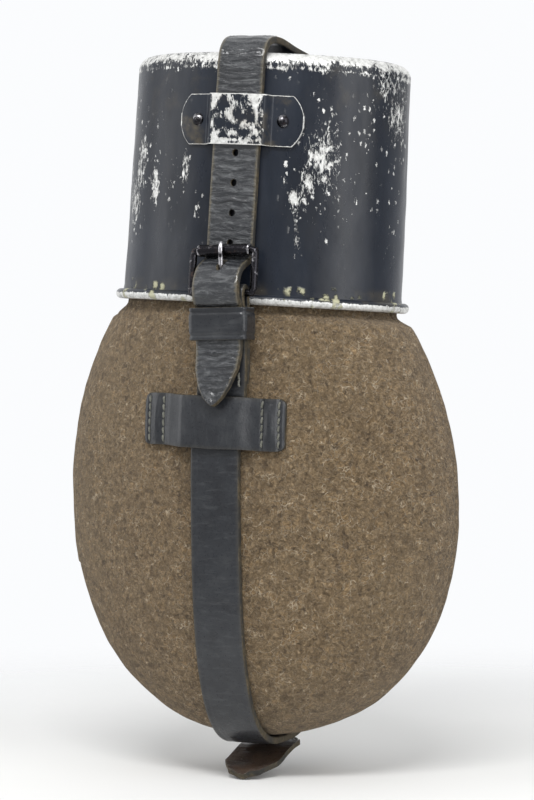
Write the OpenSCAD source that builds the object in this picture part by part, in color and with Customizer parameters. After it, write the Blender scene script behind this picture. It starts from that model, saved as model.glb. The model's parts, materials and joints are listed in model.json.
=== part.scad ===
// Field canteen: a felt-covered flask with an oval cup over its neck,
// held together by one buckled leather strap that runs all round it.
// Heights are worked out from the bottom of the felt cover, on the neck's axis.
// Front is -Y, where the buckle is; the belt hook hangs at the back.

/* [Body] */
// Width of the felt-covered body
body_w = 146; // [144:1:148]
// Depth from the neck's axis to the front of the felt
body_front = 42; // [40:1:43]
// Depth from the neck's axis to the back of the felt
body_back = 37; // [35:1:37]
// Height of the widest section
waist_z = 85; // [82:1:88]
// Thickness of the felt
felt_t = 2.8; // [2.2:0.1:3.4]
// Wall of the aluminium bottle
bottle_wall = 1.2; // [0.8:0.1:1.5]

/* [Cup] */
// Height of the cup's rim above the bottom of the felt
rim_z = 154; // [154:0.5:155]
// Height of the cup
cup_h = 87.5; // [80:0.5:92]
// Width of the cup's wall at the rim
cup_w = 103; // [102.5:0.5:105]
// Depth of the cup's wall at the rim
cup_d = 71; // [70:0.5:72]
// How far the cup leans to the right on the flask's shoulder, in degrees
cup_lean = 4.1; // [0:0.1:4.4]
// How far the cup is turned round the neck, front towards the right, in degrees
cup_turn = 3.8; // [0:0.1:4.4]
// Sheet thickness of the cup
cup_wall = 0.8; // [0.6:0.1:1.2]
// Radius of the rolled rim
bead_r = 1.8; // [1.5:0.1:1.9]

/* [Strap] */
// Width of the strap
strap_w = 18; // [16:0.5:18]
// Thickness of the strap
strap_t = 2.5; // [2:0.1:2.6]
// Spacing of the buckle holes
hole_pitch = 10.4; // [9:0.1:11]
// How far the buckle sits to the right of the strap below it
buckle_x = 3; // [2:0.1:3]

/* [Buckle] */
// Height of the hinge bar above the bottom of the felt
bar_z = 157; // [156:0.5:158]
// Distance from the hinge bar to the roller
buckle_h = 15; // [14:0.5:16]
// Thickness of the buckle's wire
wire_d = 2.6; // [2.2:0.1:2.8]
// Radius of the roller
roller_r = 2.1; // [1.9:0.1:2.2]

/* [Stopper] */
// Radius of the neck
neck_r = 13; // [12:0.5:13]
// Height of the neck above its shoulder
neck_h = 18; // [16:1:20]
// Pitch of the screw thread
pitch = 4; // [3.5:0.1:4.5]

/* [Hook] */
// Radius inside the hook's bend
bend_r = 7; // [6:0.5:8]
// Thickness of the hook plate
hook_t = 3.5; // [3:0.1:4]

/* [Hidden] */
$fn = 48;

// The origin is under the middle of the whole object, at the tip of the rear tab
origin_shift = [0.9, 0.55, 13.36];

felt_colour = "#5a4a38";
leather_colour = "#24282b";
stitch_colour = "#77786f";
steel_colour = "#55565a";
paint_colour = "#1d2226";
bare_colour = "#b9bcc0";
cork_colour = "#8f6a45";

half_w = body_w / 2;
low_wide = 2.2;        // roundness of the lower outline seen from the front
low_deep = 3.0;        // roundness of the lower outline seen from the side
high_wide = 98;        // height over which the width would run out
high_deep = 118;       // height over which the depth would run out
shoulder_z = 158;      // where the shoulder turns in towards the neck
shoulder_h = 12;
neck_z = shoulder_z + shoulder_h;
play = 0.3;            // room between soft parts that touch
fit = 0.1;             // running clearance of pins and bars

// ---------- shared functions ----------

function lerp(a, b, t) = a + (b - a) * t;
function smooth(t) = let (c = min(max(t, 0), 1)) c * c * (3 - 2 * c);
function flip(list) = [for (i = [len(list) - 1 : -1 : 0]) list[i]];
function flat(lists) = [for (list = lists) for (item = list) item];

// Points of one smooth curve through the given points, n to each stretch
function curve(p, n = 6) = concat([for (i = [0 : len(p) - 2]) for (j = [0 : n - 1])
    let (t = j / n, a = p[max(i - 1, 0)], b = p[i], c = p[i + 1], d = p[min(i + 2, len(p) - 1)])
    0.5 * ((2 * b) + (c - a) * t + (2 * a - 5 * b + 4 * c - d) * t * t
        + (3 * b - a - 3 * c + d) * t * t * t)], [p[len(p) - 1]]);

// Outline of a band of thickness t whose middle follows the points
function band(p, t) = let (n = len(p), side = [for (i = [0 : n - 1])
        let (d = p[min(i + 1, n - 1)] - p[max(i - 1, 0)]) [-d[1], d[0]] / norm(d) * t / 2])
    concat([for (i = [0 : n - 1]) p[i] + side[i]], [for (i = [n - 1 : -1 : 0]) p[i] - side[i]]);

// Solid across X, width wide, with an outline given in Y and Z
module across(wide) {
    translate([-wide / 2, 0, 0]) rotate([90, 0, 90]) linear_extrude(wide) children();
}

// Cylinder along X or Y through a centre
module rod_x(r, length, y, z) {
    translate([-length / 2, y, z]) rotate([0, 90, 0]) cylinder(r = r, h = length);
}
module rod_y(r, y0, y1, x, z) {
    translate([x, y0, z]) rotate([-90, 0, 0]) cylinder(r = r, h = y1 - y0);
}

// Half-width, front depth and back depth of the body at height z, inset by g
function low_k(z, g, p) = pow(max(0, 1 - pow((waist_z - z) / (waist_z - g), p)), 1 / p);
function high_k(z, g, h) = sqrt(1 - pow((z - waist_z) / (h - g), 2));
function close_k(z, g) = z <= shoulder_z - g ? 1 :
    sqrt(max(0, 1 - pow((z - shoulder_z + g) / shoulder_h, 2)));
function body_semi(z, g) = z < waist_z
    ? [(half_w - g) * low_k(z, g, low_wide), (body_front - g) * low_k(z, g, low_deep),
        (body_back - g) * low_k(z, g, low_deep)]
    : let (c = close_k(z, g), w = high_k(z, g, high_wide), d = high_k(z, g, high_deep))
        [lerp(neck_r, (half_w - g) * w, c), lerp(neck_r, (body_front - g) * d, c),
        lerp(neck_r, (body_back - g) * d, c)];
function free_point(phi, z, g) = let (s = body_semi(z, g))
    [s[0] * cos(phi), (sin(phi) < 0 ? s[1] : s[2]) * sin(phi), z];

// The leaning cup's own coordinates of a point
function in_cup(p) = let (h = p[2] - bar_z, x = p[0] * cos(cup_lean) - h * sin(cup_lean),
    y = p[1], z = p[0] * sin(cup_lean) + h * cos(cup_lean) + bar_z)
    [x * cos(cup_turn) + y * sin(cup_turn), y * cos(cup_turn) - x * sin(cup_turn), z];

// The body is drawn in where it would not fit inside the cup's rim
rim_room = 0.8;
function tuck(phi, z) = let (p = in_cup(free_point(phi, z, 0)), inset = cup_wall + rim_room,
    reach = norm([p[0] / (cup_w / 2 - inset), p[1] / (cup_d / 2 - inset)]))
    1 - smooth((p[2] - rim_z + 3.5) / 2.5) * max(0, 1 - 1 / reach);
function body_point(phi, z, g) = let (p = free_point(phi, z, g), k = tuck(phi, z))
    [p[0] * k, p[1] * k, z];

// Surface of the front or back at width x and height z, as a depth from the axis
function face_y(x, z, g, front) = let (s = body_semi(z, g))
    (front ? -s[1] : s[2]) * sqrt(1 - pow(x / s[0], 2));

// Row heights: close together near the bottom and over the shoulder
low_angles = [for (i = [0 : 16]) lerp(1.5, 90, i / 16)];
high_steps = concat([for (i = [1 : 8]) i / 10], [0.84, 0.87, 0.9, 0.93, 0.96, 1]);
function low_rows(g) = [for (t = low_angles) waist_z - (waist_z - g) * cos(t)];
function rows_to(g, top) = concat(low_rows(g), [for (t = high_steps) lerp(waist_z, top, t)]);
function shoulder_rows(g, angles) = concat(rows_to(g, shoulder_z - g),
    [for (t = angles) shoulder_z - g + shoulder_h * sin(t)]);

// Closed shell between an outer and an inner grid of points, where live cells are solid
module shell_grid(outer, inner, live) {
    rows = len(outer);
    cols = len(outer[0]);
    function on(i, j) = i >= 0 && j >= 0 && i < rows - 1 && j < cols - 1 && live[i][j];
    function o(i, j) = i * cols + j;
    function n(i, j) = rows * cols + i * cols + j;
    cells = [for (i = [0 : rows - 2]) for (j = [0 : cols - 2]) if (on(i, j)) [i, j]];
    skins = [for (c = cells) let (i = c[0], j = c[1]) each [
        [o(i, j), o(i + 1, j + 1), o(i + 1, j)], [o(i, j), o(i, j + 1), o(i + 1, j + 1)],
        [n(i, j), n(i + 1, j), n(i + 1, j + 1)], [n(i, j), n(i + 1, j + 1), n(i, j + 1)]]];
    function wall(a, b, c, d) = [[a, c, b], [a, d, c]];
    walls = [for (c = cells) let (i = c[0], j = c[1]) each concat(
        on(i, j - 1) ? [] : wall(o(i + 1, j), o(i, j), n(i, j), n(i + 1, j)),
        on(i, j + 1) ? [] : wall(o(i, j + 1), o(i + 1, j + 1), n(i + 1, j + 1), n(i, j + 1)),
        on(i - 1, j) ? [] : wall(o(i, j), o(i, j + 1), n(i, j + 1), n(i, j)),
        on(i + 1, j) ? [] : wall(o(i + 1, j + 1), o(i + 1, j), n(i + 1, j), n(i + 1, j + 1)))];
    polyhedron(concat(flat(outer), flat(inner)), concat(skins, walls));
}

// Solid skinned over closed rings of points, each end closed by a fan to its own middle
module ring_stack(rings) {
    rows = len(rings);
    cols = len(rings[0]);
    ends = [for (r = [rings[0], rings[rows - 1]]) [for (k = [0 : 2])
        [for (p = r) p[k]] * [for (p = r) 1] / cols]];
    skin = [for (i = [0 : rows - 2]) for (j = [0 : cols - 1]) let (k = (j + 1) % cols,
        a = i * cols + j, b = i * cols + k) each [[a, a + cols, b + cols], [a, b + cols, b]]];
    caps = [for (j = [0 : cols - 1]) let (k = (j + 1) % cols, last = (rows - 1) * cols) each [
        [j, k, rows * cols], [last + k, last + j, rows * cols + 1]]];
    polyhedron(concat(flat(rings), ends), concat(skin, caps));
}

// ---------- bottle ----------

bottle_gap = felt_t + play;
ring_steps = 44;

function body_ring(z, g) = [for (i = [0 : ring_steps - 1]) body_point(i * 360 / ring_steps, z, g)];

module bottle_shell() {
    inner_g = bottle_gap + bottle_wall;
    turn_in = [20, 40, 60, 80, 89];
    outside = [for (z = shoulder_rows(bottle_gap, turn_in)) body_ring(z, bottle_gap)];
    inside = [for (z = flip(shoulder_rows(inner_g, turn_in))) body_ring(z, inner_g)];
    color(bare_colour) ring_stack(concat(outside, inside));
}

thread_rise = 1.6;     // width of a thread rib along the neck
thread_r = 1.1;        // height of a thread rib
thread_gap = 0.3;
bore_r = neck_r - 2.2;

// Screw rib from radius r0 to r1, with its ends faded, starting at height z0
module thread(r0, r1, z0, turns, start) {
    steps = ceil(turns * 30);
    rings = [for (i = [0 : steps]) let (a = start + i * 360 * turns / steps,
        z = z0 + i * pitch * turns / steps, w = thread_rise / 2,
        edge = smooth(min(i, steps - i) / 4) * 0.9 + 0.1, r2 = lerp(r0, r1, edge))
        [for (p = [[r0, w], [r2, w * 0.55], [r2, -w * 0.55], [r0, -w]])
            [p[0] * cos(a), p[0] * sin(a), z + p[1]]]];
    ring_stack(r1 < r0 ? [for (r = rings) flip(r)] : rings);
}

module neck_collar() {
    flange = 3;
    color(bare_colour) union() {
        difference() {
            union() {
                translate([0, 0, neck_z - bottle_gap - 3]) cylinder(r = neck_r, h = neck_h + bottle_gap + 3);
                translate([0, 0, neck_z - bottle_gap]) cylinder(r = neck_r + flange, h = 1.5);
            }
            translate([0, 0, neck_z - bottle_gap - 4]) cylinder(r = bore_r, h = neck_h + bottle_gap + 5);
        }
        thread(neck_r - 0.2, neck_r + thread_r, neck_z + 8, 1.75, 0);
    }
}

// ---------- felt cover ----------

flap_low = 60;
flap_high = 152;
flap_reach = 26;       // how far the flap wraps round behind the side, in degrees
flap_t = 1.7;
cover_turn = [20, 40, 60];
cover_cols = 26;

function in_flap(z) = z > flap_low && z < flap_high;
function outset(phi, z) = in_flap(z) ? (flap_t + fit) * smooth((-phi - 164) / 14) : 0;

module cover_front() {
    rows = shoulder_rows(0, cover_turn);
    deep_rows = shoulder_rows(felt_t, cover_turn);
    main_cols = [for (i = [0 : cover_cols]) -180 * i / cover_cols];
    flap_cols = [for (i = [0 : 4]) -180.4 - flap_reach * i / 4];
    cols = concat(main_cols, flap_cols);
    outer = [for (z = rows) [for (phi = cols) body_point(phi, z, -outset(phi, z))]];
    inner = [for (i = [0 : len(rows) - 1]) [for (j = [0 : len(cols) - 1]) j <= cover_cols
        ? body_point(cols[j], deep_rows[i], felt_t) : body_point(cols[j], rows[i], -fit)]];
    live = [for (i = [0 : len(rows) - 2]) [for (j = [0 : len(cols) - 2])
        j < cover_cols || (in_flap(rows[i]) && in_flap(rows[i + 1]))]];
    color(felt_colour) shell_grid(outer, inner, live);
}

module cover_back() {
    rows = shoulder_rows(0, cover_turn);
    deep_rows = shoulder_rows(felt_t, cover_turn);
    edge = 0.25;
    cols = [for (i = [0 : cover_cols]) lerp(180 - edge, edge, i / cover_cols)];
    outer = [for (z = rows) [for (phi = cols) body_point(phi, z, 0)]];
    inner = [for (z = deep_rows) [for (phi = cols) body_point(phi, z, felt_t)]];
    live = [for (i = [0 : len(rows) - 2]) [for (j = [0 : cover_cols - 1]) true]];
    color(felt_colour) shell_grid(outer, inner, live);
}

snap_zs = [70, 92, 114, 136];
snap_phi = 163;

// Places a piece on the left side of the body, its +Z pointing straight out of the felt
module on_side(z, out) {
    s = body_semi(z, 0);
    dx = cos(snap_phi) / s[0];
    dy = sin(snap_phi) / s[2];
    tilt = z < waist_z ? 6 : -atan((z - waist_z) / high_wide) * 0.8;
    p = body_point(snap_phi, z, 0);
    translate(p) rotate([0, 0, atan2(dy, dx)]) rotate([0, 90 + tilt, 0])
        translate([0, 0, out]) children();
}

module cover_snap_caps() {
    cap_r = 6;
    cap_h = 1.6;
    color(steel_colour) for (z = snap_zs) on_side(z, flap_t + 0.5) {
        rotate_extrude() intersection() {
            translate([0, -12.2]) circle(r = 12.2 + cap_h, $fn = 96);
            square([cap_r, cap_h]);
        }
    }
}

module cover_snap_studs() {
    color(steel_colour) for (z = snap_zs) on_side(z, -felt_t - 0.15) {
        cylinder(r = 4.5, h = 0.6);
        cylinder(r = 1.8, h = felt_t);
    }
}

// ---------- loops sewn to the felt ----------

loop_w = 53;
loop_t = 2;
loop_rise = 11.4;      // half-width over which a loop stands clear of the strap

// Extra height of a loop over the strap, at width x
function loop_lift(x, gap) = play + (gap - play) * (1 - smooth((abs(x) - loop_rise) / 5));

// A loop's middle lies at width mid; its right end hangs lower by the slope
module loop(z0, z1, front, gap, mid = 0, slope = 0) {
    xs = [for (i = [0 : 36]) lerp(-loop_w / 2, loop_w / 2, i / 36) + mid];
    zs = [for (i = [0 : 4]) lerp(z0, z1, i / 4)];
    s = front ? -1 : 1;
    under = [for (z = zs) [for (x = xs) let (h = z - x * tan(slope))
        [x, face_y(x, h, 0, front) + s * loop_lift(x, gap), h]]];
    over = [for (row = under) [for (p = row) p + [0, s * loop_t, 0]]];
    all = [for (row = zs) [for (i = [0 : 35]) true]];
    color(leather_colour) if (front) shell_grid(under, over, all); else shell_grid(over, under, all);
}

// Rows of stitches near both ends of a loop, each a short thread lying on the leather
module loop_stitches(z0, z1, front, mid = 0, slope = 0) {
    s = front ? -1 : 1;
    count = 6;
    step = (z1 - z0 - 2) / count;
    thread_r = 0.4;
    tilt = atan((face_y(0, z1, 0, front) - face_y(0, z0, 0, front)) / (z1 - z0));
    color(stitch_colour) for (side = [-1, 1]) for (out = [18.6, 24.4]) for (i = [0 : count - 1]) {
        x = mid + side * out;
        z = z0 + 1 + step * (i + 0.5) - x * tan(slope);
        y = face_y(x, z, 0, front) + s * (play + loop_t + thread_r + 0.05);
        translate([x, y, z]) rotate([-tilt, side * 8, 0])
            cylinder(r = thread_r, h = step * 0.7, center = true, $fn = 16);
    }
}

front_loop_z = [104, 122];
front_loop_mid = -2;
front_loop_slope = 3;
rear_loop_z = [52, 70];
loop_gap = strap_t + 2 * play + 0.3;

module front_loop() {
    loop(front_loop_z[0], front_loop_z[1], true, loop_gap, front_loop_mid, front_loop_slope);
}
module front_loop_stitches() {
    loop_stitches(front_loop_z[0], front_loop_z[1], true, front_loop_mid, front_loop_slope);
}
module rear_loop() {
    loop(rear_loop_z[0], rear_loop_z[1], false, loop_gap);
}
module rear_loop_stitches() {
    loop_stitches(rear_loop_z[0], rear_loop_z[1], false);
}

// ---------- strap round the bottle ----------

buckle_line = 39.8;    // depth of the strap's back face below the buckle
back_line = 38.8;      // depth of the strap's inner face behind the cup's rim
strap_split = rim_z + 9;
chape_t = 2;           // skived leather of the fold round the hinge bar
bar_r = wire_d / 2;
bar_y = -(buckle_line + chape_t + bar_r + fit);
roller_y = -40.6;
roller_z = bar_z + buckle_h;

// Middle of the strap at height z above the waist, on the front or the back
function strap_mid(z, front) = strap_t / 2 + max(body_semi(z, -play)[front ? 1 : 2],
    front ? buckle_line * smooth((z - waist_z) / 40) : back_line * smooth((z - 70) / 20));

function strap_low(t, front) = let (g = -play - strap_t / 2, z = waist_z - (waist_z - g) * cos(t))
    [(front ? -1 : 1) * body_semi(z, g)[front ? 1 : 2], z];

function lower_path() = concat(
    [for (z = [bar_z : -6 : waist_z]) [-strap_mid(z, true), z]],
    [for (t = [84 : -6 : 6]) strap_low(t, true)],
    [[0, -play - strap_t / 2]],
    [for (t = [6 : 6 : 84]) strap_low(t, false)],
    [for (z = [waist_z : 6 : strap_split - 3]) [strap_mid(z, false), z]],
    [[back_line + strap_t / 2, strap_split]]);

// Sideways run of the strap: to the right below the buckle, a little to the left behind
rear_x = -2;
function strap_x(p) = p[0] < 0 ? buckle_x * smooth((p[1] - 102) / 32)
    : rear_x * smooth((p[1] - 132) / 28);

// Rings round a band of width w and thickness t that follows the points in Y and Z
function strap_rings(p, w, t) = let (n = len(p)) [for (i = [0 : n - 1])
    let (d = p[min(i + 1, n - 1)] - p[max(i - 1, 0)], side = [-d[1], d[0]] / norm(d) * t / 2,
        x = strap_x(p[i]), a = p[i] + side, b = p[i] - side)
    [[x - w / 2, a[0], a[1]], [x + w / 2, a[0], a[1]], [x + w / 2, b[0], b[1]], [x - w / 2, b[0], b[1]]]];

fold_low = 124.6;      // where the fold's free end is sewn down

// The strap's fold round the hinge bar, with the slot that the prong swings in
module chape() {
    r = bar_r + fit + chape_t;
    front = buckle_line + strap_t + chape_t;
    outline = concat([[-buckle_line, fold_low], [-buckle_line, bar_z]],
        [for (a = [0 : 12 : 204]) [bar_y + r * cos(a), bar_z + r * sin(a)]],
        [[-front, bar_z - 3.8], [-front, fold_low]]);
    difference() {
        across(strap_w) polygon(outline);
        rod_x(bar_r + fit, strap_w + 2, bar_y, bar_z);
        translate([-2, bar_y - r - 1, bar_z - bar_r - 2]) cube([4, 2 * r + 2, r + bar_r + 4]);
    }
}

module strap_lower() {
    color(leather_colour) union() {
        difference() {
            ring_stack(strap_rings(lower_path(), strap_w, strap_t));
            translate([-20, -80, bar_z - 12]) cube([40, 60, 30]);
        }
        translate([buckle_x, 0, 0]) chape();
    }
}

module chape_stitches() {
    color(stitch_colour) for (side = [-1, 1]) for (i = [0 : 1])
        translate([buckle_x + side * 6.5, -(buckle_line + strap_t + chape_t + 0.45),
            fold_low + 1.6 + i * 2.4])
            cylinder(r = 0.4, h = 1.9, center = true, $fn = 16);
}

// ---------- buckle ----------

buckle_half = strap_w / 2 + 1.2 + bar_r;

module buckle_frame() {
    bend = bar_r + 0.15;
    color(steel_colour) union() {
        rod_x(bar_r, 2 * buckle_half, bar_y, bar_z);
        rod_x(bar_r, 2 * buckle_half, roller_y, roller_z);
        for (side = [-1, 1]) {
            lean = atan((roller_y - bar_y) / buckle_h);
            translate([side * buckle_half, bar_y, bar_z]) {
                rotate([-lean, 0, 0]) cylinder(r = bar_r, h = norm([buckle_h, roller_y - bar_y]));
                sphere(r = bend);
            }
            translate([side * buckle_half, roller_y, roller_z]) sphere(r = bend);
        }
    }
}

module buckle_roller() {
    color(steel_colour) difference() {
        rod_x(roller_r, strap_w + 1.4, roller_y, roller_z);
        rod_x(bar_r + 0.06, strap_w + 3, roller_y, roller_z);
    }
}

prong_r = 1.1;

// Prong: an eye on the hinge bar and a pin that rises through the strap and over the roller
module buckle_prong() {
    eye_r = bar_r + 1.7;
    pin = curve([[bar_y - 1.2, bar_z + 2.2], [bar_y - 0.6, bar_z + 5], [bar_y - 0.7, bar_z + 9],
        [roller_y - roller_r - 1.4, roller_z - 1.4], [roller_y - roller_r - 1.5, roller_z + 0.6],
        [roller_y - roller_r - 0.9, roller_z + 2.4]]);
    color(steel_colour) union() {
        difference() {
            rod_x(eye_r, 2 * prong_r, bar_y, bar_z);
            rod_x(bar_r + 0.05, 6, bar_y, bar_z);
        }
        across(2 * prong_r) polygon(band(pin, 2 * prong_r));
    }
}

// ---------- free end of the strap, through the buckle ----------

upper_low = roller_z - 4.6;   // lower end of the strap over the cup, behind the roller
tail_root = [-38.7, roller_z - 4.1];   // where the free end leaves it, clear of the cup's rim
chape_front = buckle_line + strap_t + chape_t;
tail_y = chape_front + 0.2 + strap_t / 2;
tail_tip_z = 118.5;
billet_w = 17;

// Middle of the free end, from under the roller to the tip
tail_path = curve([tail_root, [-39.6, roller_z - 4.2], [-41.7, roller_z - 4.9], [-45.4, roller_z - 7],
    [-48.1, bar_z + 4], [-48.8, bar_z + 0.5], [-48, bar_z - 2.4], [-tail_y - 0.15, bar_z - 4.8],
    [-tail_y, 146], [-tail_y - 0.1, 138], [-tail_y - 0.9, 131], [-tail_y - 2, 125], [-tail_y - 3.2, tail_tip_z]]);

// Front view of the free end: straight, then drawn in to a rounded point, a little to the left
module tail_outline() {
    side = billet_w / 2;
    top = roller_z;
    drift = 1.5;
    tip = [for (p = curve([[-side, 139], [-7.9, 131], [-5.9, 125], [-2.4, tail_tip_z + 1.2],
        [0, tail_tip_z], [2.4, tail_tip_z + 1.2], [5.9, 125], [7.9, 131], [side, 139]], 4))
        p - [drift * smooth((140 - p[1]) / 20), 0]];
    translate([buckle_x, 0]) polygon(concat([[-side, top]], tip, [[side, top]]));
}

prong_slot_z = bar_z + 8.6;

module strap_tail() {
    color(leather_colour) difference() {
        intersection() {
            across(billet_w + 12) polygon(band(tail_path, strap_t));
            translate([0, -20, 0]) rotate([90, 0, 0]) linear_extrude(60) tail_outline();
        }
        translate([buckle_x - 1.7, -60, prong_slot_z - 5]) cube([3.4, 30, 9]);
    }
}

// Leather loop round both thicknesses below the buckle
keeper_z = [141, 152.2];

module strap_keeper() {
    t = 1.5;
    x = strap_w / 2 + 0.3;
    near = -(chape_front + 0.2 + strap_t + 0.25);
    far = -(buckle_line - 0.15);
    color(leather_colour) difference() {
        translate([-x - t, near - t, keeper_z[0]])
            cube([2 * (x + t), far - near + 2 * t, keeper_z[1] - keeper_z[0]]);
        translate([-x, near, keeper_z[0] - 1]) cube([2 * x, far - near, 30]);
    }
}

// ---------- cup ----------

base_z = rim_z + cup_h;
taper = 1.3;           // how much narrower each side is at the base
corner_r = 4.5;
cup_steps = 64;

function cup_semi(z) = let (k = taper * (z - rim_z) / cup_h) [cup_w / 2 - k, cup_d / 2 - k];
function cup_ring(inset, z) = let (s = cup_semi(z)) [for (i = [0 : cup_steps - 1])
    let (a = i * 360 / cup_steps) [(s[0] - inset) * cos(a), (s[1] - inset) * sin(a), z]];
function cup_y(x, z) = let (s = cup_semi(z)) s[1] * sqrt(1 - pow(x / s[0], 2));

// Leans and turns a piece with the cup
module on_cup() {
    translate([0, 0, bar_z]) rotate([0, cup_lean, 0]) rotate([0, 0, cup_turn])
        translate([0, 0, -bar_z]) children();
}

module cup_shell() {
    bead_mid = bead_r - cup_wall;
    corner = [for (t = [0 : 18 : 90]) [corner_r * (1 - cos(t)), corner_r * sin(t)]];
    inner_r = corner_r - cup_wall;
    inner_corner = [for (t = [90 : -18 : 0]) [inner_r * (1 - cos(t)), inner_r * sin(t)]];
    bead = [for (t = [115 : -23 : -184]) [-bead_mid - bead_r * cos(t), rim_z + bead_r + bead_r * sin(t)]];
    color(paint_colour) ring_stack([for (r = concat(
        [cup_ring(30, base_z - 0.4), cup_ring(9, base_z)],
        [for (i = [5 : -1 : 0]) cup_ring(corner[i][0], base_z - corner_r + corner[i][1])],
        [cup_ring(0, rim_z + 30)],
        [for (p = bead) cup_ring(p[0], p[1])],
        [cup_ring(cup_wall, rim_z + 30)],
        [for (p = flip(inner_corner)) cup_ring(cup_wall + p[0], base_z - corner_r + p[1])],
        [cup_ring(9, base_z - cup_wall), cup_ring(30, base_z - 0.4 - cup_wall)])) flip(r)]);
}

bracket_w = 45;
bracket_h = 17.5;
bracket_t = 1.2;
bracket_z = 217.5;
bracket_end_r = 12;
rivet_x = 15.4;
rivet_r = 1.5;

// Back face of the bracket over the cup at width x: it stands off where the strap runs
function bracket_y(x) = -cup_y(x, bracket_z) - 0.1 -
    (strap_t + 0.75) * (1 - smooth((abs(x) - 9.6) / 2.6));

module cup_bracket() {
    xs = [for (i = [-24 : 24]) i];
    middle = [for (x = xs) [x, bracket_y(x) - bracket_t / 2]];
    color(paint_colour) difference() {
        intersection() {
            translate([0, 0, bracket_z - bracket_h / 2]) linear_extrude(bracket_h)
                polygon(band(middle, bracket_t));
            translate([0, -20, bracket_z]) rotate([90, 0, 0]) linear_extrude(40) intersection() {
                square([bracket_w, bracket_h], center = true);
                hull() for (side = [-1, 1]) translate([side * (bracket_w / 2 - bracket_end_r), 0])
                    circle(r = bracket_end_r, $fn = 72);
            }
        }
        for (side = [-1, 1]) rod_y(rivet_r, -50, -20, side * rivet_x, bracket_z);
    }
}

module bracket_rivets() {
    head_r = 2.2;
    color(steel_colour) for (side = [-1, 1]) {
        y = bracket_y(rivet_x) - bracket_t;
        rod_y(rivet_r, y, y + 3.4, side * rivet_x, bracket_z);
        translate([side * rivet_x, y, bracket_z]) rotate([90, 0, 0]) rotate_extrude() intersection() {
            translate([0, -1.2]) circle(r = 2.5);
            square([head_r, 3]);
        }
        rod_y(2.4, -cup_y(rivet_x, bracket_z) + 1.5, -cup_y(rivet_x, bracket_z) + 2.3,
            side * rivet_x, bracket_z);
    }
}

// Middle of the strap over the cup, from above the roller to behind the rim
over_gap = 0.35 + strap_t / 2;
upper_path = concat(
    [[-36.6, upper_low], [-36.6, roller_z], [-36.62, roller_z + 6]],
    [for (z = [roller_z + 13 : 8 : base_z - 8]) [-cup_y(0, z) - over_gap, z]],
    curve([[-cup_y(0, base_z) - over_gap, base_z - 4], [-34.2, base_z + 0.8], [-29, base_z + 4.2],
        [-18, base_z + 5.4], [0, base_z + 4.4], [18, base_z + 3.8], [28, base_z + 3.2],
        [33.6, base_z + 0.6], [cup_y(0, base_z) + over_gap, base_z - 4]], 5),
    [for (z = [base_z - 10 : -8 : strap_split + 16]) [cup_y(0, z) + over_gap, z]],
    [[back_line + strap_t / 2 - 0.3, strap_split + 7], [back_line + strap_t / 2, strap_split + 1.1]]);

first_hole_z = 206;

module strap_upper() {
    color(leather_colour) difference() {
        across(billet_w) polygon(band(upper_path, strap_t));
        for (i = [0 : 2]) rod_y(1, -50, -30, 0, first_hole_z - i * hole_pitch);
    }
}

// ---------- stopper ----------

neck_top = neck_z + neck_h;
gasket_h = 2.4;
cap_low = neck_z + 3;
cap_r = neck_r + thread_r + thread_gap + 2.2;

module stopper_cap() {
    inner = neck_r + thread_r + thread_gap;
    ceiling = neck_top + gasket_h + 0.1;
    top = ceiling + 2.4;
    grips = 24;
    color(paint_colour) union() {
        difference() {
            translate([0, 0, cap_low]) cylinder(r = cap_r, h = top - cap_low);
            translate([0, 0, cap_low - 1]) cylinder(r = inner, h = ceiling - cap_low + 1);
            for (i = [0 : grips - 1]) rotate([0, 0, i * 360 / grips])
                translate([cap_r + 0.4, 0, cap_low + 3]) cylinder(r = 1, h = top, $fn = 24);
        }
        thread(inner + 0.2, inner - thread_r, neck_z + 6, 0.9, 0);
    }
}

module stopper_gasket() {
    color(cork_colour) translate([0, 0, neck_top]) cylinder(r = neck_r + 0.9, h = gasket_h);
}

// ---------- belt hook ----------

hook_low = 128;        // height of the eye bar that the tab is folded round
tab_line = back_line + strap_t + 0.1;
eye_r = 1.75;
hook_y = tab_line + 2 + eye_r + fit;
hook_tab_w = 16;

module hook_tab() {
    wrap = eye_r + fit + 2;
    low = 94;
    outline = concat([[tab_line, low], [tab_line + 4, low], [tab_line + 4, hook_low - 8],
        [hook_y + wrap, hook_low]],
        [for (a = [12 : 12 : 168]) [hook_y + wrap * cos(a), hook_low + wrap * sin(a)]],
        [[tab_line, hook_low]]);
    color(leather_colour) difference() {
        across(hook_tab_w) polygon(outline);
        rod_x(eye_r + fit, hook_tab_w + 2, hook_y, hook_low);
        rod_y(rivet_r, 30, 60, 0, low + 11);
    }
}

module hook_tab_rivet() {
    z = 105;
    color(steel_colour) union() {
        rod_y(rivet_r, tab_line, tab_line + 4, 0, z);
        translate([0, tab_line + 4, z]) rotate([-90, 0, 0]) rotate_extrude() intersection() {
            translate([0, -3]) circle(r = 4.6);
            square([3.4, 3]);
        }
    }
}

eye_half = 10.5;
eye_top = hook_low + 9;
bend_z = 158;
hook_out = bend_r + 4;
pin_x = -(bend_r + 2);
pin_z = eye_top + 3;
pin_r = 1.2;
nose_z = bend_z - 5;

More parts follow.
